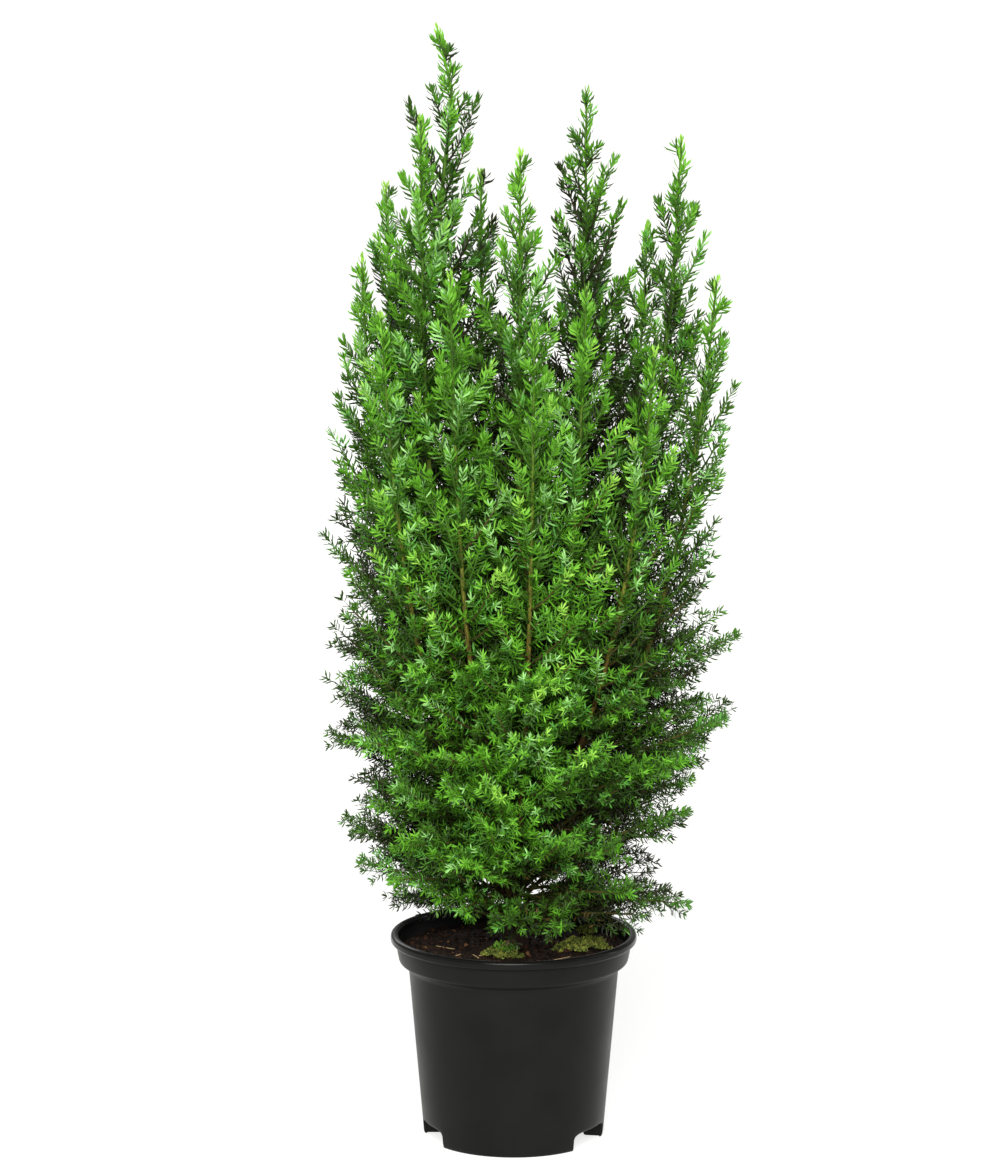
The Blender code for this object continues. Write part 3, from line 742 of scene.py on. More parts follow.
def needle_kinds(shoots, pick, t, place, rng):
    """The colour number of each needle, from its shoot's tone and its own place: the
    place gives painted shade inside the crown and at the back, and painted light on the front.
    """
    outward = np.minimum(oval_share(place), 1.0)
    high = np.clip((place[:, 2] - 0.30) / 0.18, 0.0, 1.0)
    left = (1.0 - t) * shoots["length"][pick]
    # Painted light: needles facing the front, and all round near the top, count as lit; the back and
    # sides low down count as shaded.
    facing = -place[:, 1] / np.maximum(np.hypot(place[:, 0], place[:, 1]), 0.02)
    painted_light_share = np.clip(facing + 0.6 * high, 0.0, 1.0)
    low = np.clip((0.42 - place[:, 2]) / 0.16, 0.0, 1.0)
    # Painted shade inside the crown, and the top a step darker as painted shade against the strong light
    # from above.
    level = 2.75 - 4.2 * (1.0 - outward) * (1.0 - high) - 1.05 * high
    # Painted light on the front and painted shade at the back and sides, both stronger low down.
    level += (0.75 + 0.45 * low) * painted_light_share - (0.3 + 0.8 * low) * (1.0 - painted_light_share)
    level += 2.5 * (shoots["tone"][pick] - 0.5)
    level += 0.8 * (t - 0.5) + rng.uniform(-0.35, 0.35, len(t))
    kinds = np.clip(np.floor(level), SHADE, BRIGHT).astype(int)
    young = (left < TIP_LENGTH) & (outward + high > 0.9)
    young &= (place[:, 2] > 0.15) & (painted_light_share > 0.8 * low)
    kinds = np.where(young, np.minimum(kinds + 1, TIP), kinds)
    # Bloom on the brighter needles takes the paler colour, a painted highlight on the wax bloom.
    bloomy = (shoots["tone"][pick] * 7.31 % 1.0) < np.interp(place[:, 2], [0.2, 0.34, 0.5],
                                                           [0.22, 0.34, 0.20])
    bloomy &= (kinds >= MID) & (rng.uniform(0, 1, len(t)) < 0.6)
    bloomy &= kinds < TIP
    kinds = np.where(bloomy, np.where(kinds >= FRESH, BLOOM_PAINTED_HIGHLIGHT, BLOOM), kinds)
    dry = (outward < 0.45) & (rng.uniform(0, 1, len(t)) < 0.06) & (place[:, 2] < 0.3)
    return np.where(dry, DRY, kinds)


# %% Needles along shoots
ROSETTE = 5


def splay_at(heights):
    """How widely needles stand off: 0 on the high upright shoots, 1 on the low ones."""
    return 1.0 - np.clip((heights - 0.28) / 0.16, 0.0, 1.0)


def shoot_needles(shoots, spacing, first, size, width, rng):
    """Needles in turned pairs along shoots, closer together towards the tip, and a
    rosette at the very tip: points (n, 5, 3), colours and groups."""
    count = len(shoots["length"])
    size = np.broadcast_to(size, count)
    width = np.broadcast_to(width, count)
    tight = 1.0 - 0.22 * (1.0 - splay_at(shoots["base"][:, 2]))
    pick, share, number = stations(shoots["length"], spacing * tight, 0.0, 1.0, rng)
    t = first + (1.0 - first) * (1.0 - (1.0 - share) ** 1.3)
    turn = number * np.pi / 2 + shoots["tone"][pick] * 6.0
    end_pick = np.repeat(np.arange(count), ROSETTE)
    end_turn = np.tile(np.arange(ROSETTE) * 2 * np.pi / ROSETTE, count)
    pick = np.concatenate([pick, pick, end_pick])
    t = np.concatenate([t, t, np.full(len(end_pick), 0.985)])
    turn = np.concatenate([turn, turn + np.pi, end_turn])
    turn = turn + rng.uniform(-0.3, 0.3, len(t))
    place, tangent = shoot_at(shoots, pick, t)
    splay = splay_at(place[:, 2])
    lean = 46.0 + 12.0 * splay - (24.0 - 16.0 * splay) * t ** 4
    lean = np.radians(lean) + rng.uniform(-0.14, 0.14, len(t))
    grown = 0.80 + 0.20 * np.sin(np.pi * np.clip(t * 1.1, 0, 1))
    length = size[pick] * grown * rng.uniform(0.82, 1.14, len(t))
    kinds = needle_kinds(shoots, pick, t, place, rng)
    roll = rng.uniform(-np.pi / 2, np.pi / 2, len(t))
    points = needle_points(place, tangent, turn, lean, length, width[pick], roll)
    return points, kinds, shoots["group"][pick]


needle_rng = np.random.default_rng(31)


def size_at(shoots, low_size, high_size):
    """Needle length of each shoot: longer on the high, free-standing shoots."""
    return np.interp(shoots["base"][:, 2], [0.20, 0.44], [low_size * MM, high_size * MM])


needle_sets = [
    shoot_needles(plume_first, 1.4 * MM, 0.06, size_at(plume_first, 6.0, 7.6),
                  size_at(plume_first, 0.76, 1.12), needle_rng),
    shoot_needles(plume_second, 1.5 * MM, 0.12, size_at(plume_second, 5.6, 6.6),
                  size_at(plume_second, 0.74, 1.05), needle_rng),
    shoot_needles(low_first, 1.6 * MM, 0.30, 5.6 * MM, 0.78 * MM, needle_rng),
    shoot_needles(low_second, 1.5 * MM, 0.10, 5.0 * MM, 0.75 * MM, needle_rng),
    shoot_needles(low_third, 1.6 * MM, 0.12, 4.4 * MM, 0.72 * MM, needle_rng),
]
print([len(s[0]) for s in needle_sets], "needles on side shoots")

# %% [markdown]
# The stems' own tips carry the longest needles, in close tufts at the very top and in
# spaced rings of three on the bare green shoot below. They give the crown its outline.

# %% Needles along the stems
LEADER_NEEDLE_DEPTH = 0.150
LEADER_RING_SPACING = 2.2 * MM


def leader_needles(leader, group, rng):
    """Rings of three needles from a stem's tip downwards."""
    count = int(LEADER_NEEDLE_DEPTH / LEADER_RING_SPACING)
    depth = np.repeat(np.arange(count) * LEADER_RING_SPACING, 3)
    depth = depth + np.interp(depth, [0, 0.02, 0.05], [0.0, 0.001, 0.0]) + rng.uniform(
        -0.9, 0.9, len(depth)) * MM * (depth > 4 * MM)
    heights = leader["tip"][2] - 5.0 * MM - depth
    place = leader_at(leader, heights)
    tangent = unit(leader_at(leader, heights + MM) - place)
    ring = np.arange(len(depth)) // 3
    turn = ring * 0.9 + (np.arange(len(depth)) % 3) * 2 * np.pi / 3
    turn = turn + rng.uniform(-0.25, 0.25, len(depth))
    lean = np.radians(np.interp(depth, [0, 0.006, 0.03, 0.15], [14, 24, 42, 54]))
    lean = lean + rng.uniform(-0.2, 0.2, len(depth))
    length = np.interp(depth, [0, 0.005, 0.02, 0.15], [5.4, 7.0, 8.2, 6.8]) * MM
    length = length * rng.uniform(0.85, 1.12, len(depth))
    kinds = np.select([depth < 5 * MM, depth < 16 * MM, depth < 60 * MM],
                      [TIP, BRIGHT, FRESH], MID)
    kinds = np.where(rng.uniform(0, 1, len(depth)) < 0.25, np.maximum(kinds - 1, MID), kinds)
    roll = rng.uniform(-np.pi / 2, np.pi / 2, len(depth))
    width = np.full(len(depth), 1.25 * MM)
    points = needle_points(place, tangent, turn, lean, length, width, roll)
    return points, kinds, np.full(len(depth), group)


needle_sets += [leader_needles(leader, group_of[leader["name"]], needle_rng)
                for leader in leaders]


def moss_sprig(rng):
    """A small bright sprig that stands in the moss beside the trunk."""
    count = 7
    turn = np.arange(count) * GOLDEN_TURN
    level = np.stack([np.cos(turn), np.sin(turn), np.zeros(count)], axis=1)
    heading = level * np.linspace(0.2, 1.1, count)[:, None] + UP
    base = np.array([-5.7 * MM, -17 * MM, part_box("soil")[1].z + 1 * MM]) + level * 0.6 * MM
    shoots = make_shoots(base, heading, level * 0.1, np.full(count, 4.6 * MM),
                         np.ones(count), np.ones(count), np.ones(count, int),
                         np.full(count, LOW_GROUP))
    points, _, group = shoot_needles(shoots, 1.1 * MM, 0.1, 3.6 * MM, 0.8 * MM, rng)
    return points, rng.choice([FRESH, BRIGHT, TIP], len(points)), group


needle_sets.append(moss_sprig(needle_rng))
all_points = np.concatenate([s[0] for s in needle_sets])
all_kinds = np.concatenate([s[1] for s in needle_sets])
all_groups = np.concatenate([s[2] for s in needle_sets])
print(len(all_points), "needles in all")

# %% Make the needle pieces
MOST_NEEDLES = 62000


def needle_piece(name, points, kinds):
    """One joined mesh of needles, with the colours that it uses."""
    count = len(points)
    faces = (NEEDLE_FACES[None] + 5 * np.arange(count)[:, None, None]).reshape(-1, 3)
    return mesh_piece(name, points.reshape(-1, 3), faces, needle_materials,
                      np.repeat(kinds, len(NEEDLE_FACES)), smooth=False)


for number, group in enumerate(GROUP_NAMES):
    here = np.flatnonzero(all_groups == number)
    for part, some in enumerate(np.array_split(here, max(1, math.ceil(len(here) / MOST_NEEDLES)))):
        piece = needle_piece(f"needles_{group}_{part + 1}", all_points[some], all_kinds[some])
        settle(piece, "foliage", *[f"foliage_{name}" for name in GROUPS[group]])
low_here = np.flatnonzero(all_groups == LOW_GROUP)
low_nodes = sorted(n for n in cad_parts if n.startswith("low_foliage_"))
for part, some in enumerate(np.array_split(low_here, math.ceil(len(low_here) / MOST_NEEDLES))):
    piece = needle_piece(f"needles_low_{part + 1}", all_points[some], all_kinds[some])
    settle(piece, "low_foliage", *low_nodes)

# %% [markdown]
# ## Twigs
#
# Under the needles each shoot has its own thin wood, brown where it is old and green
# where it is young, and near-black deep inside the crown as painted shade. A twig is a
# slim tapering tube with few sides, closed at its tip. All twigs are swept at once, as
# one array of rings.

# %% Sweep many tubes at once
def tube_mesh(paths, radii, sides):
    """Points and triangles of closed tubes.

    paths (n, rings, 3) are their middle lines, radii (n, rings) their thickness. The
    last ring is one point. Ring points are middle + radius * (cos a, sin a) square
    to the path."""
    count, rings, _ = paths.shape
    tangents = unit(np.gradient(paths, axis=1))
    mean = unit(tangents.mean(axis=1))
    level, _ = across(mean)
    side = unit(level[:, None] - tangents * np.einsum("ik,ijk->ij", level, tangents)[..., None])
    rise = np.cross(side, tangents)
    angle = np.arange(sides) * 2 * np.pi / sides
    ring = (side[:, :, None] * np.cos(angle)[None, None, :, None]
            + rise[:, :, None] * -np.sin(angle)[None, None, :, None])
    walls = paths[:, :-1, None] + ring[:, :-1] * radii[:, :-1, None, None]
    points = np.concatenate([walls.reshape(count, -1, 3), paths[:, -1:]], axis=1)
    quads = grid_faces(rings - 1, sides)
    faces = np.concatenate([quads[:, [0, 1, 2]], quads[:, [0, 2, 3]]])
    top = (rings - 2) * sides + np.arange(sides)
    tips = np.stack([top, (rings - 2) * sides + (np.arange(sides) + 1) % sides,
                     np.full(sides, (rings - 1) * sides)], axis=1)
    foot = np.stack([np.zeros(sides - 2, int), np.arange(2, sides), np.arange(1, sides - 1)], 1)
    faces = np.concatenate([faces, tips, foot])
    whole = (faces[None] + np.arange(count)[:, None, None] * points.shape[1]).reshape(-1, 3)
    return points.reshape(-1, 3), whole, len(faces)


def twig_set(shoots, rings, sides, thick, thin):
    """Tubes along shoots, and a twig colour for each face."""
    share = np.linspace(0.0, 0.97, rings)
    count = len(shoots["length"])
    pick = np.repeat(np.arange(count), rings)
    points, _ = shoot_at(shoots, pick, np.tile(share, count))
    taper = thick + (thin - thick) * share
    radii = np.broadcast_to(taper, (count, rings)) * np.clip(
        shoots["length"] / (22 * MM), 0.55, 1.35)[:, None]
    points, faces, each = tube_mesh(points.reshape(count, rings, 3), radii, sides)
    old = (shoots["base"][:, 2] < 0.24 + 0.1 * shoots["tone"]) & (shoots["outward"] < 0.85)
    # Twigs deep inside the crown take the darkest twig colour as painted shade.
    inside = shoots["outward"] < 0.5
    kinds = np.where(inside, TWIG_SHADE, np.where(old & (shoots["order"] == 1), TWIG_BROWN,
                                                  TWIG_GREEN))
    return points, faces, np.repeat(kinds, each)


def twig_piece(name, sets, slot, *nodes):
    """Several sets of tubes joined into one mesh."""
    starts = np.cumsum([0] + [len(points) for points, _, _ in sets])
    points = np.concatenate([s[0] for s in sets])
    faces = np.concatenate([s[1] + start for s, start in zip(sets, starts)])
    kinds = np.concatenate([s[2] for s in sets])
    return settle(mesh_piece(name, points, faces, twig_materials, kinds), slot, *nodes)


twig_piece("twigs_of_plumes", [
    twig_set(plume_first, 5, 4, 0.62 * MM, 0.26 * MM),
    twig_set(plume_second, 3, 3, 0.36 * MM, 0.20 * MM),
], "young_bark")
low_bough_nodes = sorted(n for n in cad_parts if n.startswith("low_bough_"))
twig_piece("twigs_of_low_sprays", [
    twig_set(low_first, 7, 5, 0.85 * MM, 0.30 * MM),
    twig_set(low_second, 4, 4, 0.46 * MM, 0.22 * MM),
    twig_set(low_third, 3, 3, 0.34 * MM, 0.18 * MM),
], "bark", *low_bough_nodes)

# %% [markdown]
# ## Bark
#
# The trunk and stems have thin bark that splits into narrow strips along the limb. A
# tube is carried along each limb's line, and its radius takes a relief of strips that
# are long up the limb and narrow round it. The colour turns from red-brown at the foot
# to the yellow-green of young shoots higher up.

# %% Bark material
bark, bark_tree, bark_shader = new_material("split_bark")
set_shader(bark_shader, 0.8, 0.3)
bark_place = add_node(bark_tree, "ShaderNodeTexCoord")
bark_height = add_node(bark_tree, "ShaderNodeSeparateXYZ",
                       links={"Vector": bark_place.outputs["Object"]})
bark_age = add_node(bark_tree, "ShaderNodeMapRange",
                    values={"From Min": 0.10, "From Max": 0.42},
                    links={"Value": bark_height.outputs["Z"]})
# The darkest brown at the trunk's foot, under the crown, is partly old bark and partly painted shade.
bark_colour = ramp_between(bark_tree, bark_age.outputs["Result"],
                           [(0.0, "#2e1b13"), (0.25, "#5c4022"), (0.48, "#7a6428"),
                            (0.75, "#6b8026"), (1.0, "#4d7420")])
# Strips are about 1 mm wide and 12 mm long, so the noise is stretched along Z.
bark_stretch = add_node(bark_tree, "ShaderNodeMapping", values={"Scale": (900, 900, 80)},
                        links={"Vector": bark_place.outputs["Object"]})
bark_grain = add_node(bark_tree, "ShaderNodeTexNoise", values={"Scale": 1.0, "Detail": 3.0},
                      links={"Vector": bark_stretch.outputs["Vector"]})
bark_tone = ramp_between(bark_tree, bark_grain.outputs["Fac"],
                         [(0.35, "#6e6e6e"), (0.65, "#ffffff")])
bark_mix = add_node(bark_tree, "ShaderNodeMix", {"data_type": "RGBA", "blend_type": "MULTIPLY"})
bark_mix.inputs["Factor"].default_value = 0.85
bark_tree.links.new(bark_colour, bark_mix.inputs["A"])
bark_tree.links.new(bark_tone, bark_mix.inputs["B"])
bark_tree.links.new(bark_mix.outputs["Result"], bark_shader.inputs["Base Color"])
bark_bump = add_node(bark_tree, "ShaderNodeBump", values={"Strength": 0.5, "Distance": 0.0003},
                     links={"Height": bark_grain.outputs["Fac"]})
bark_tree.links.new(bark_bump.outputs["Normal"], bark_shader.inputs["Normal"])


# %% Carry bark along a limb
def bark_tube(path, radii, columns, relief, seed):
    """Points and quads of a limb: ring points at radius * (1 + relief * strips), where
    strips is a noise that changes fast round the limb and slowly along it."""
    rows = len(path)
    tangents = unit(np.gradient(path, axis=0))
    level, rise = across(unit(tangents + np.array([0.02, 0.01, 0.0])))
    angle = np.arange(columns) * 2 * np.pi / columns
    along = np.concatenate([[0.0], np.cumsum(np.linalg.norm(np.diff(path, axis=0), axis=1))])
    strips_round = 14
    u = np.broadcast_to(angle * strips_round / (2 * np.pi), (rows, columns))
    v = np.broadcast_to((along / (9 * MM))[:, None], (rows, columns))
    strips = value_noise(u, v, seed, strips_round)
    strips = strips + 0.5 * value_noise(u * 2, v * 2.7, seed + 1, strips_round * 2)
    wide = radii[:, None] * (1.0 + relief * strips)
    ring = (level[:, None] * np.cos(angle)[None, :, None]
            - rise[:, None] * np.sin(angle)[None, :, None])
    points = (path[:, None] + ring * wide[..., None]).reshape(-1, 3)
    return points, grid_faces(rows, columns)


trunk_heights = np.concatenate([
    np.linspace(trunk_middles[0, 2], 0.135, 30),
    np.linspace(0.1365, trunk_middles[-1, 2] - 4 * MM, 210)])
trunk_path = trunk_at(trunk_heights)
trunk_size = np.interp(trunk_heights, trunk_middles[:, 2], trunk_radii)
trunk_size = trunk_size * np.interp(trunk_heights, [0.42, 0.58], [1.0, 0.55])
trunk_points, trunk_faces = bark_tube(trunk_path, trunk_size, 28, 0.085, 41)
settle(mesh_piece("trunk_bark", trunk_points, trunk_faces, [bark]), "bark", "trunk")

# %% Bark of the stems
STEM_TIP_RADIUS = 0.45 * MM
stem_points, stem_faces, stem_total = [], [], 0
for number, leader in enumerate(leaders):
    if leader["name"] == "trunk":
        continue
    heights = np.linspace(leader["places"][0, 2], leader["tip"][2] - 4 * MM, 90)
    path = leader_at(leader, heights)
    size = np.interp(heights, [heights[0], leader["end"][2], heights[-1]],
                     [2.0 * MM, 1.6 * MM, STEM_TIP_RADIUS])
    points, faces = bark_tube(path, size, 12, 0.07, 50 + number)
    stem_points.append(points)
    stem_faces.append(faces + stem_total)
    stem_total += len(points)
stem_nodes = sorted(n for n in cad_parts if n.startswith("stem_"))
stems = mesh_piece("stems_bark", np.concatenate(stem_points), np.concatenate(stem_faces), [bark])
settle(stems, "young_bark", *stem_nodes)

# %% [markdown]
# ## The pot
#
# The pot is moulded in one piece of black polypropylene: a smooth tapering wall, a
# stiffer collar above a crease, a rolled lip, and a foot with wide drain notches. It is
# one turned outline, given row by row from under the floor, out over the lip and back
# inside. Only the rows at the foot change as the outline turns: their height follows the
# notches.

# %% Sizes of the pot, from its solid
pot_low, pot_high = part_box("pot")
LIP_RADIUS = pot_high.x
LIP_TOP = pot_high.z
WALL = 1.6 * MM
FOOT_RADIUS = 47.5 * MM
CREASE_RADIUS = 55.5 * MM
CREASE_Z = 91.6 * MM
COLLAR_LOW = (60.7 * MM, 95.8 * MM)
COLLAR_TOP = (62.3 * MM, 103.6 * MM)
FLOOR_DISC = 30.0 * MM
RING_UNDER = 6.0 * MM
POCKET_TOP = 10.4 * MM
POCKET_INNER = 41.0 * MM
NOTCHES = ((-69.6, 30.5 * MM), (60.5, 32 * MM), (180.0, 29 * MM))
NOTCH_HEIGHT = 9.0 * MM
NOTCH_SHAPE = 5.0
RIB_THICKNESS = 1.8 * MM
RIB_INNER = 37.5 * MM


def foot_edge(bearing):
    """Height of the foot's lower edge at each bearing from the front: 0 on the floor,
    and over a notch height * (1 - |x / half width|^5)^(1/5), a round-cornered arch."""
    edge = np.zeros_like(bearing)
    for middle, width in NOTCHES:
        turn = (bearing - math.radians(middle) + np.pi) % (2 * np.pi) - np.pi
        x = np.abs(turn) * FOOT_RADIUS / (width / 2)
        arch = NOTCH_HEIGHT * np.maximum(1.0 - x ** NOTCH_SHAPE, 0.0) ** (1.0 / NOTCH_SHAPE)
        edge = np.maximum(edge, arch)
    return edge


def arc(centre, radius, start, end, count):
    """Points of an arc in the (radius, height) plane, angles in degrees."""
    a = np.radians(np.linspace(start, end, count))
    return [(centre[0] + radius * math.cos(t), centre[1] + radius * math.sin(t)) for t in a]


def notch_bearings(evenly):
    """Bearings round the pot, closer together at the sides of each notch."""
    bearings = [np.linspace(-np.pi, np.pi, evenly, endpoint=False)]
    for middle, width in NOTCHES:
        half = width / 2 / FOOT_RADIUS
        for side in (-1, 1):
            near = half * (1.0 - np.array([0.0, 0.004, 0.012, 0.03, 0.06, 0.1, 0.15, -0.01]))
            bearings.append(math.radians(middle) + side * near)
    joined = (np.concatenate(bearings) + np.pi) % (2 * np.pi) - np.pi
    return np.unique(np.round(joined, 6))


# %% Turn the pot's outline
bearing = notch_bearings(220)
edge = foot_edge(bearing)


def wall_radius(height):
    """Outer radius of the straight wall at a height."""
    return FOOT_RADIUS + (CREASE_RADIUS - FOOT_RADIUS) * height / CREASE_Z


def pot_rows():
    """Rows (radius, height) of the pot's outline, each as arrays over the bearings."""
    round_edge = 0.5 * MM
    disc = FLOOR_DISC
    rows = [(0.0, 0.0), (disc - 1.2 * MM, 0.0)] + arc((disc - 1.2 * MM, 1.2 * MM), 1.2 * MM, -70, -10, 4)
    rows += [(disc + 1.6 * MM, RING_UNDER - 1.0 * MM), (disc + 2.5 * MM, RING_UNDER)]
    ring = RING_UNDER + (POCKET_TOP - RING_UNDER) * edge / NOTCH_HEIGHT
    under = wall_radius(ring) - WALL
    rows += [(POCKET_INNER - 0.5 * MM, RING_UNDER), (POCKET_INNER, ring)]
    rows += [(under - 1.0 * MM, ring), (under, ring - 0.4 * MM)]
    low = edge
    inner = wall_radius(low + round_edge) - WALL
    outer = wall_radius(low + round_edge)
    rows += [(inner, low + round_edge), (inner + round_edge * 0.3, low + round_edge * 0.3)]
    rows += [(inner + round_edge, low), (outer - 1.1 * MM, low)]
    rows += [(outer - 0.45 * MM, low + 0.35 * MM), (outer - 0.12 * MM, low + 0.9 * MM)]
    for share in (0.02, 0.06, 0.12, 0.3, 0.5, 0.7, 0.9):
        height = low + round_edge + (CREASE_Z - 1.5 * MM - low - round_edge) * share
        rows.append((wall_radius(height), height))
    rows += [(wall_radius(CREASE_Z - 1.5 * MM), CREASE_Z - 1.5 * MM)]
    rows += [(CREASE_RADIUS + 0.12 * MM, CREASE_Z), (CREASE_RADIUS + 0.9 * MM, CREASE_Z + 0.9 * MM)]
    rows += arc((COLLAR_LOW[0] - 2.4 * MM, COLLAR_LOW[1] + 0.7 * MM), 2.4 * MM, -62, -6, 6)
    rows += [(61.2 * MM, 98.6 * MM), (61.7 * MM, 101.4 * MM), (COLLAR_TOP[0] - 0.2 * MM, 104.4 * MM)]
    lip = LIP_TOP
    rows += arc((LIP_RADIUS - 1.2 * MM, 106.4 * MM), 1.2 * MM, -100, 0, 6)
    rows += arc((LIP_RADIUS - 1.7 * MM, lip - 1.7 * MM), 1.7 * MM, 12, 90, 7)
    rows += arc((LIP_RADIUS - 2.6 * MM, lip - 1.5 * MM), 1.5 * MM, 96, 172, 6)
    rows += [(COLLAR_TOP[0] - WALL, COLLAR_TOP[1])]
    rows += [(COLLAR_LOW[0] - WALL, COLLAR_LOW[1] + 1.0 * MM), (CREASE_RADIUS - WALL, CREASE_Z)]
    rows += [(wall_radius(13 * MM) - WALL, 13.0 * MM), (disc + 4 * MM, 12.2 * MM)]
    rows += [(disc - 1.5 * MM, 1.8 * MM), (0.0, 1.8 * MM)]
    return rows


def turn_rows(rows):
    """Points of a turned surface: bearing 0 is the front, towards -Y."""
    radius = np.stack([np.broadcast_to(r, bearing.shape) for r, _ in rows])
    height = np.stack([np.broadcast_to(h, bearing.shape) for _, h in rows])
    return np.stack([radius * np.sin(bearing), -radius * np.cos(bearing), height], axis=-1)


pot_points = turn_rows(pot_rows())
pot_faces = grid_faces(pot_points.shape[0], pot_points.shape[1])

# %% Pot material
# Moulded polypropylene is dense black with a soft sheen: slightly uneven gloss from the
# mould, and a very fine grain that breaks up reflections.
pot_plastic, pot_tree, pot_shader = new_material("moulded_polypropylene")
set_shader(pot_shader, 0.40, 0.30)
pot_shader.inputs["IOR"].default_value = 1.27
pot_place = add_node(pot_tree, "ShaderNodeTexCoord")
pot_cloud = add_node(pot_tree, "ShaderNodeTexNoise", values={"Scale": 45.0, "Detail": 4.0},
                     links={"Vector": pot_place.outputs["Object"]})
pot_colour = ramp_between(pot_tree, pot_cloud.outputs["Fac"],
                          [(0.3, "#0e0e0e"), (0.7, "#131313")])
pot_tree.links.new(pot_colour, pot_shader.inputs["Base Color"])
pot_height = add_node(pot_tree, "ShaderNodeSeparateXYZ",
                      links={"Vector": pot_place.outputs["Object"]})
# The rolled lip is handled and rubbed, so it is glossier than the wall below it.
pot_wear = add_node(pot_tree, "ShaderNodeMapRange",
                    values={"From Min": 0.1045, "From Max": 0.1060, "To Min": 0.0, "To Max": -0.20},
                    links={"Value": pot_height.outputs["Z"]})
pot_gloss = add_node(pot_tree, "ShaderNodeMapRange",
                     values={"From Min": 0.3, "From Max": 0.7, "To Min": 0.34, "To Max": 0.44},
                     links={"Value": pot_cloud.outputs["Fac"]})
pot_rough = add_node(pot_tree, "ShaderNodeMath", {"operation": "ADD"},
                     links={0: pot_gloss.outputs["Result"], 1: pot_wear.outputs["Result"]})
pot_tree.links.new(pot_rough.outputs["Value"], pot_shader.inputs["Roughness"])
pot_grain = add_node(pot_tree, "ShaderNodeTexNoise", values={"Scale": 2600.0, "Detail": 2.0},
                     links={"Vector": pot_place.outputs["Object"]})
pot_bump = add_node(pot_tree, "ShaderNodeBump", values={"Strength": 0.10, "Distance": 0.0001},
                    links={"Height": pot_grain.outputs["Fac"]})
pot_tree.links.new(pot_bump.outputs["Normal"], pot_shader.inputs["Normal"])


def weld(piece, distance, sharp_degrees):
    """Merge points that coincide, point the faces outwards and set the sharp edges."""
    import bmesh
    shape = bmesh.new()
    shape.from_mesh(piece.data)
    bmesh.ops.remove_doubles(shape, verts=shape.verts, dist=distance)
    bmesh.ops.dissolve_degenerate(shape, edges=shape.edges, dist=distance)
    bmesh.ops.recalc_face_normals(shape, faces=shape.faces)
    shape.to_mesh(piece.data)
    shape.free()
    piece.data.shade_smooth()
    piece.data.set_sharp_from_angle(angle=math.radians(sharp_degrees))


def pot_ribs():
    """Upright ribs under the floor at both ends of every notch, from the wall inwards.

    A rib is a grid that turns about its outline in the plane of the radius: a
    rectangle whose corners are rounded by 1.4 mm, drawn twice a thickness apart."""
    corner = 1.4 * MM
    low, high = 0.3 * MM, RING_UNDER + 1.0 * MM
    outer = wall_radius(low) - 0.1 * MM
    outline = []
    for (r, z), start in (((outer - corner, low + corner), -90), ((outer - corner, high - corner), 0),
                          ((RIB_INNER + corner, high - corner), 90),
                          ((RIB_INNER + corner, low + corner), 180)):
        outline += arc((r, z), corner, start, start + 90, 5)
    outline = np.array(outline)
    middle = outline.mean(axis=0)
    points, faces, total = [], [], 0
    for centre, width in NOTCHES:
        for side in (-1, 1):
            bearing_of = math.radians(centre) + side * (width / 2 + RIB_THICKNESS * 0.9) / FOOT_RADIUS
            out = np.array([math.sin(bearing_of), -math.cos(bearing_of), 0.0])
            along = np.array([math.cos(bearing_of), math.sin(bearing_of), 0.0])
            rings = []
            for shrink, shift in ((0.0, -1), (0.96, -1), (1.0, -0.8), (1.0, 0.8), (0.96, 1), (0.0, 1)):
                ring = middle + (outline - middle) * shrink
                rings.append(ring[:, :1] * out + UP * ring[:, 1:] + along * shift * RIB_THICKNESS / 2)
            points.append(np.concatenate(rings))
            faces.append(grid_faces(6, len(outline)) + total)
            total += len(points[-1])
    return np.concatenate(points), np.concatenate(faces)


rib_points, rib_faces = pot_ribs()
shell_points = pot_points.reshape(-1, 3)
pot = mesh_piece("pot_shell", np.concatenate([shell_points, rib_points]),
                 np.concatenate([pot_faces, rib_faces + len(shell_points)]), [pot_plastic])
weld(pot, 0.000002, 40)
settle(pot, "pot_plastic", "pot")

# %% [markdown]
# ## Soil
#
# The pot is filled with dark moist peat, a finger's breadth under the lip. Its surface is
# a disc of rings whose height takes three sizes of noise, heaped a little round the
# trunk. Loose crumbs and a few pale straws lie on it.

# %% Soil surface
SOIL_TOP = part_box("soil")[1].z
SOIL_RADIUS = 59.4 * MM


def soil_height(x, y):
    """Height of the soil: the fill level plus noise at 22, 8 and 3 mm."""
    radius = np.hypot(x, y)
    bumps = 0.9 * value_noise(x / (22 * MM) + 31, y / (22 * MM) + 31, 61)
    bumps = bumps + 0.75 * value_noise(x / (8 * MM) + 31, y / (8 * MM) + 31, 62)
    bumps = bumps + 0.42 * value_noise(x / (3 * MM) + 63, y / (3 * MM) + 63, 63, 128)
    heap = 1.2 * np.exp(-(radius / (12 * MM)) ** 2)
    return SOIL_TOP + (bumps + heap - 0.6) * MM


def soil_mesh():
    """Rings of the soil's top, then down inside the wall to a flat underside."""
    turns = np.arange(180) * 2 * np.pi / 180
    reach = np.linspace(0.0, 1.0, 64)[:, None] * SOIL_RADIUS
    x = reach * np.cos(turns)
    y = reach * np.sin(turns)
    top = np.stack([x, y, soil_height(x, y)], axis=-1)
    rim = np.stack([np.broadcast_to(58.6 * MM * np.cos(turns), (1, 180)),
                    np.broadcast_to(58.6 * MM * np.sin(turns), (1, 180)),
                    np.full((1, 180), 96.5 * MM)], axis=-1)
    foot = np.stack([np.zeros((1, 180)), np.zeros((1, 180)), np.full((1, 180), 96.5 * MM)], -1)
    points = np.concatenate([top, rim, foot])
    return points.reshape(-1, 3), grid_faces(66, 180)[:, ::-1]


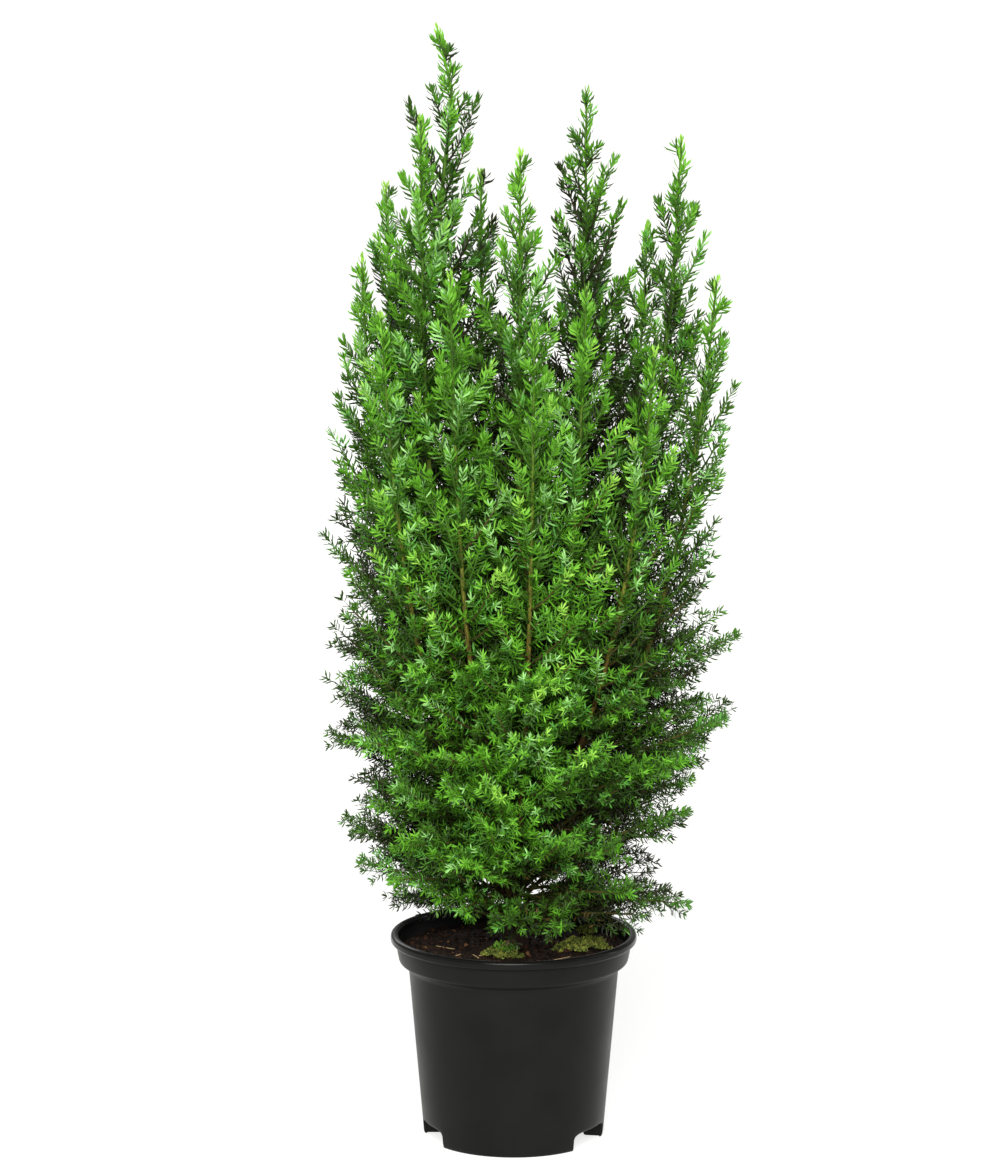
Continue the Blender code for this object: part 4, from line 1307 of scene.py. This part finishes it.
peat, peat_tree, peat_shader = new_material("moist_peat")
set_shader(peat_shader, 0.9, 0.12)
peat_place = add_node(peat_tree, "ShaderNodeTexCoord")
peat_noise = add_node(peat_tree, "ShaderNodeTexNoise", values={"Scale": 260.0, "Detail": 6.0},
                      links={"Vector": peat_place.outputs["Object"]})
peat_colour = ramp_between(peat_tree, peat_noise.outputs["Fac"],
                           [(0.30, "#0f0a08"), (0.52, "#1f1510"), (0.75, "#3a281c")])
peat_tree.links.new(peat_colour, peat_shader.inputs["Base Color"])
peat_bump = add_node(peat_tree, "ShaderNodeBump", values={"Strength": 0.8, "Distance": 0.0006},
                     links={"Height": peat_noise.outputs["Fac"]})
peat_tree.links.new(peat_bump.outputs["Normal"], peat_shader.inputs["Normal"])
soil_points, soil_faces = soil_mesh()
soil = mesh_piece("soil_surface", soil_points, soil_faces, [peat])
weld(soil, 0.000002, 80)
settle(soil, "soil", "soil")

# %% [markdown]
# A crumb is a twenty-sided ball with its corners pushed in and out and its three widths
# drawn apart. One ball is worked out for all crumbs at once, each with its own turn.

# %% Crumbs and straws on the soil
CRUMBS = 1500
STRAWS = 16
crumb_rng = np.random.default_rng(71)


def ball_shape():
    """The twelve corners and twenty faces of an icosahedron."""
    g = (1 + math.sqrt(5)) / 2
    corners = [(-1, g, 0), (1, g, 0), (-1, -g, 0), (1, -g, 0), (0, -1, g), (0, 1, g),
               (0, -1, -g), (0, 1, -g), (g, 0, -1), (g, 0, 1), (-g, 0, -1), (-g, 0, 1)]
    faces = [(0, 11, 5), (0, 5, 1), (0, 1, 7), (0, 7, 10), (0, 10, 11), (1, 5, 9), (5, 11, 4),
             (11, 10, 2), (10, 7, 6), (7, 1, 8), (3, 9, 4), (3, 4, 2), (3, 2, 6), (3, 6, 8),
             (3, 8, 9), (4, 9, 5), (2, 4, 11), (6, 2, 10), (8, 6, 7), (9, 8, 1)]
    return unit(np.array(corners, float)), np.array(faces)


def random_turns(count, rng):
    """Random rotation matrices, from unit quaternions."""
    w, x, y, z = unit(rng.normal(size=(count, 4))).T
    return np.stack([
        np.stack([1 - 2 * (y * y + z * z), 2 * (x * y - z * w), 2 * (x * z + y * w)], -1),
        np.stack([2 * (x * y + z * w), 1 - 2 * (x * x + z * z), 2 * (y * z - x * w)], -1),
        np.stack([2 * (x * z - y * w), 2 * (y * z + x * w), 1 - 2 * (x * x + y * y)], -1),
    ], axis=1)


def make_crumbs(count, rng):
    """Joined crumbs that lie on the soil."""
    ball, faces = ball_shape()
    size = rng.lognormal(-0.35, 0.45, count) * 0.75 * MM
    widths = rng.uniform(0.55, 1.35, (count, 1, 3))
    uneven = rng.uniform(0.72, 1.2, (count, 12, 1))
    shape = ball[None] * uneven * widths * size[:, None, None]
    shape = np.einsum("nij,nkj->nki", random_turns(count, rng), shape)
    radius = np.sqrt(rng.uniform(0.003, 1.0, count)) * (SOIL_RADIUS - 2 * MM)
    turn = rng.uniform(0, 2 * np.pi, count)
    x = radius * np.cos(turn)
    y = radius * np.sin(turn)
    place = np.stack([x, y, soil_height(x, y) + size * 0.25], axis=1)
    points = (shape + place[:, None]).reshape(-1, 3)
    every = (faces[None] + 12 * np.arange(count)[:, None, None]).reshape(-1, 3)
    kinds = np.repeat(rng.choice(3, count, p=[0.6, 0.32, 0.08]), 20)
    return points, every, kinds


crumb_materials = [plain_material("peat_crumb_dark", "#150e0a", 0.9, 0.12),
                   plain_material("peat_crumb_brown", "#3a261a", 0.9, 0.12),
                   plain_material("bark_chip", "#6b4a30", 0.85, 0.2)]
crumb_points, crumb_faces, crumb_kinds = make_crumbs(CRUMBS, crumb_rng)
crumbs = mesh_piece("soil_crumbs", crumb_points, crumb_faces, crumb_materials, crumb_kinds,
                    smooth=False)
settle(crumbs, "soil")

straw_length = crumb_rng.uniform(4, 13, STRAWS) * MM
straw_turn = crumb_rng.uniform(0, 2 * np.pi, STRAWS)
straw_radius = np.sqrt(crumb_rng.uniform(0.08, 0.8, STRAWS)) * SOIL_RADIUS
straw_place = np.stack([straw_radius * np.cos(straw_turn), straw_radius * np.sin(straw_turn)], 1)
straw_place[:3] = [(-0.029, -0.022), (-0.020, -0.024), (-0.036, -0.004)]
straw_way = crumb_rng.uniform(0, 2 * np.pi, STRAWS)
straw_share = np.linspace(-0.5, 0.5, 6)
straw_bow = crumb_rng.uniform(-0.15, 0.15, STRAWS)[:, None] * (straw_share ** 2)[None]
straw_x = straw_place[:, :1] + straw_length[:, None] * (
    straw_share * np.cos(straw_way)[:, None] - straw_bow * np.sin(straw_way)[:, None])
straw_y = straw_place[:, 1:] + straw_length[:, None] * (
    straw_share * np.sin(straw_way)[:, None] + straw_bow * np.cos(straw_way)[:, None])
straw_z = soil_height(straw_x, straw_y).max(axis=1, keepdims=True) + 0.3 * MM
straw_path = np.stack([straw_x, straw_y, np.broadcast_to(straw_z, straw_x.shape)], axis=-1)
straw_points, straw_faces, _ = tube_mesh(straw_path, np.full((STRAWS, 6), 0.28 * MM), 5)
straw_material = plain_material("pale_straw", "#a08a66", 0.7, 0.3)
settle(mesh_piece("straws", straw_points, straw_faces, [straw_material]), "soil")

# %% [markdown]
# ## Moss
#
# Short moss grows in low yellow-green cushions near the front and right of the trunk. A
# cushion is many tiny leaves standing on a mound. They are made as the needles are: small
# blades that lean out from the middle of each little tuft.

# %% Moss cushions
MOSS_COLOURS = {"moss_pale": "#a9b04c", "moss_green": "#78883a", "moss_dark": "#454f22"}
moss_materials = [plain_material(name, colour, 0.8, 0.3) for name, colour in MOSS_COLOURS.items()]
moss_rng = np.random.default_rng(83)
MOSS_NODES = ["moss_front", "moss_right", "moss_back"]


def moss_blades(node, tufts, rng):
    """Blades of the moss on one mound: a few for each tuft, all round it."""
    low, high = (np.array(corner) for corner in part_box(node))
    middle = (low + high) / 2
    half = (high - low) / 2
    turn = rng.uniform(0, 2 * np.pi, tufts)
    uneven = 0.78 + 0.24 * np.sin(turn * 2 + low[0] * 900) + 0.14 * np.sin(turn * 5 + low[1] * 900)
    reach = np.sqrt(rng.uniform(0, 1, tufts)) * uneven
    x = middle[0] + half[0] * reach * np.cos(turn)
    y = middle[1] + half[1] * reach * np.sin(turn)
    mound = (high[2] - low[2]) * 0.75 * np.maximum(1.0 - reach ** 2, 0.0)
    mound = mound * rng.uniform(0.5, 1.15, tufts)
    place = np.stack([x, y, soil_height(x, y) + mound - 0.4 * MM], axis=1)
    blades = 9
    place = np.repeat(place, blades, axis=0)
    count = len(place)
    tangent = unit(UP + rng.normal(0, 0.25, (count, 3)))
    place = place + UP * (np.tile(np.arange(blades), tufts) * 0.14 * MM)[:, None]
    turns = np.tile(np.arange(blades) * 2.4, tufts) + rng.uniform(-0.5, 0.5, count)
    lean = np.radians(rng.uniform(25, 75, count))
    length = rng.uniform(0.9, 1.9, count) * MM
    roll = rng.uniform(-np.pi / 2, np.pi / 2, count)
    points = needle_points(place, tangent, turns, lean, length, np.full(count, 0.45 * MM), roll)
    kinds = np.repeat(rng.choice(3, tufts, p=[0.30, 0.40, 0.30]), blades)
    return points, kinds


moss_sets = [moss_blades(node, tufts, moss_rng)
             for node, tufts in zip(MOSS_NODES, (420, 560, 150))]
moss_points = np.concatenate([s[0] for s in moss_sets])
moss_kinds = np.concatenate([s[1] for s in moss_sets])
moss_faces = (NEEDLE_FACES[None] + 5 * np.arange(len(moss_points))[:, None, None]).reshape(-1, 3)
moss = mesh_piece("moss_tufts", moss_points.reshape(-1, 3), moss_faces, moss_materials,
                  np.repeat(moss_kinds, len(NEEDLE_FACES)), smooth=False)
settle(moss, "moss", *MOSS_NODES)
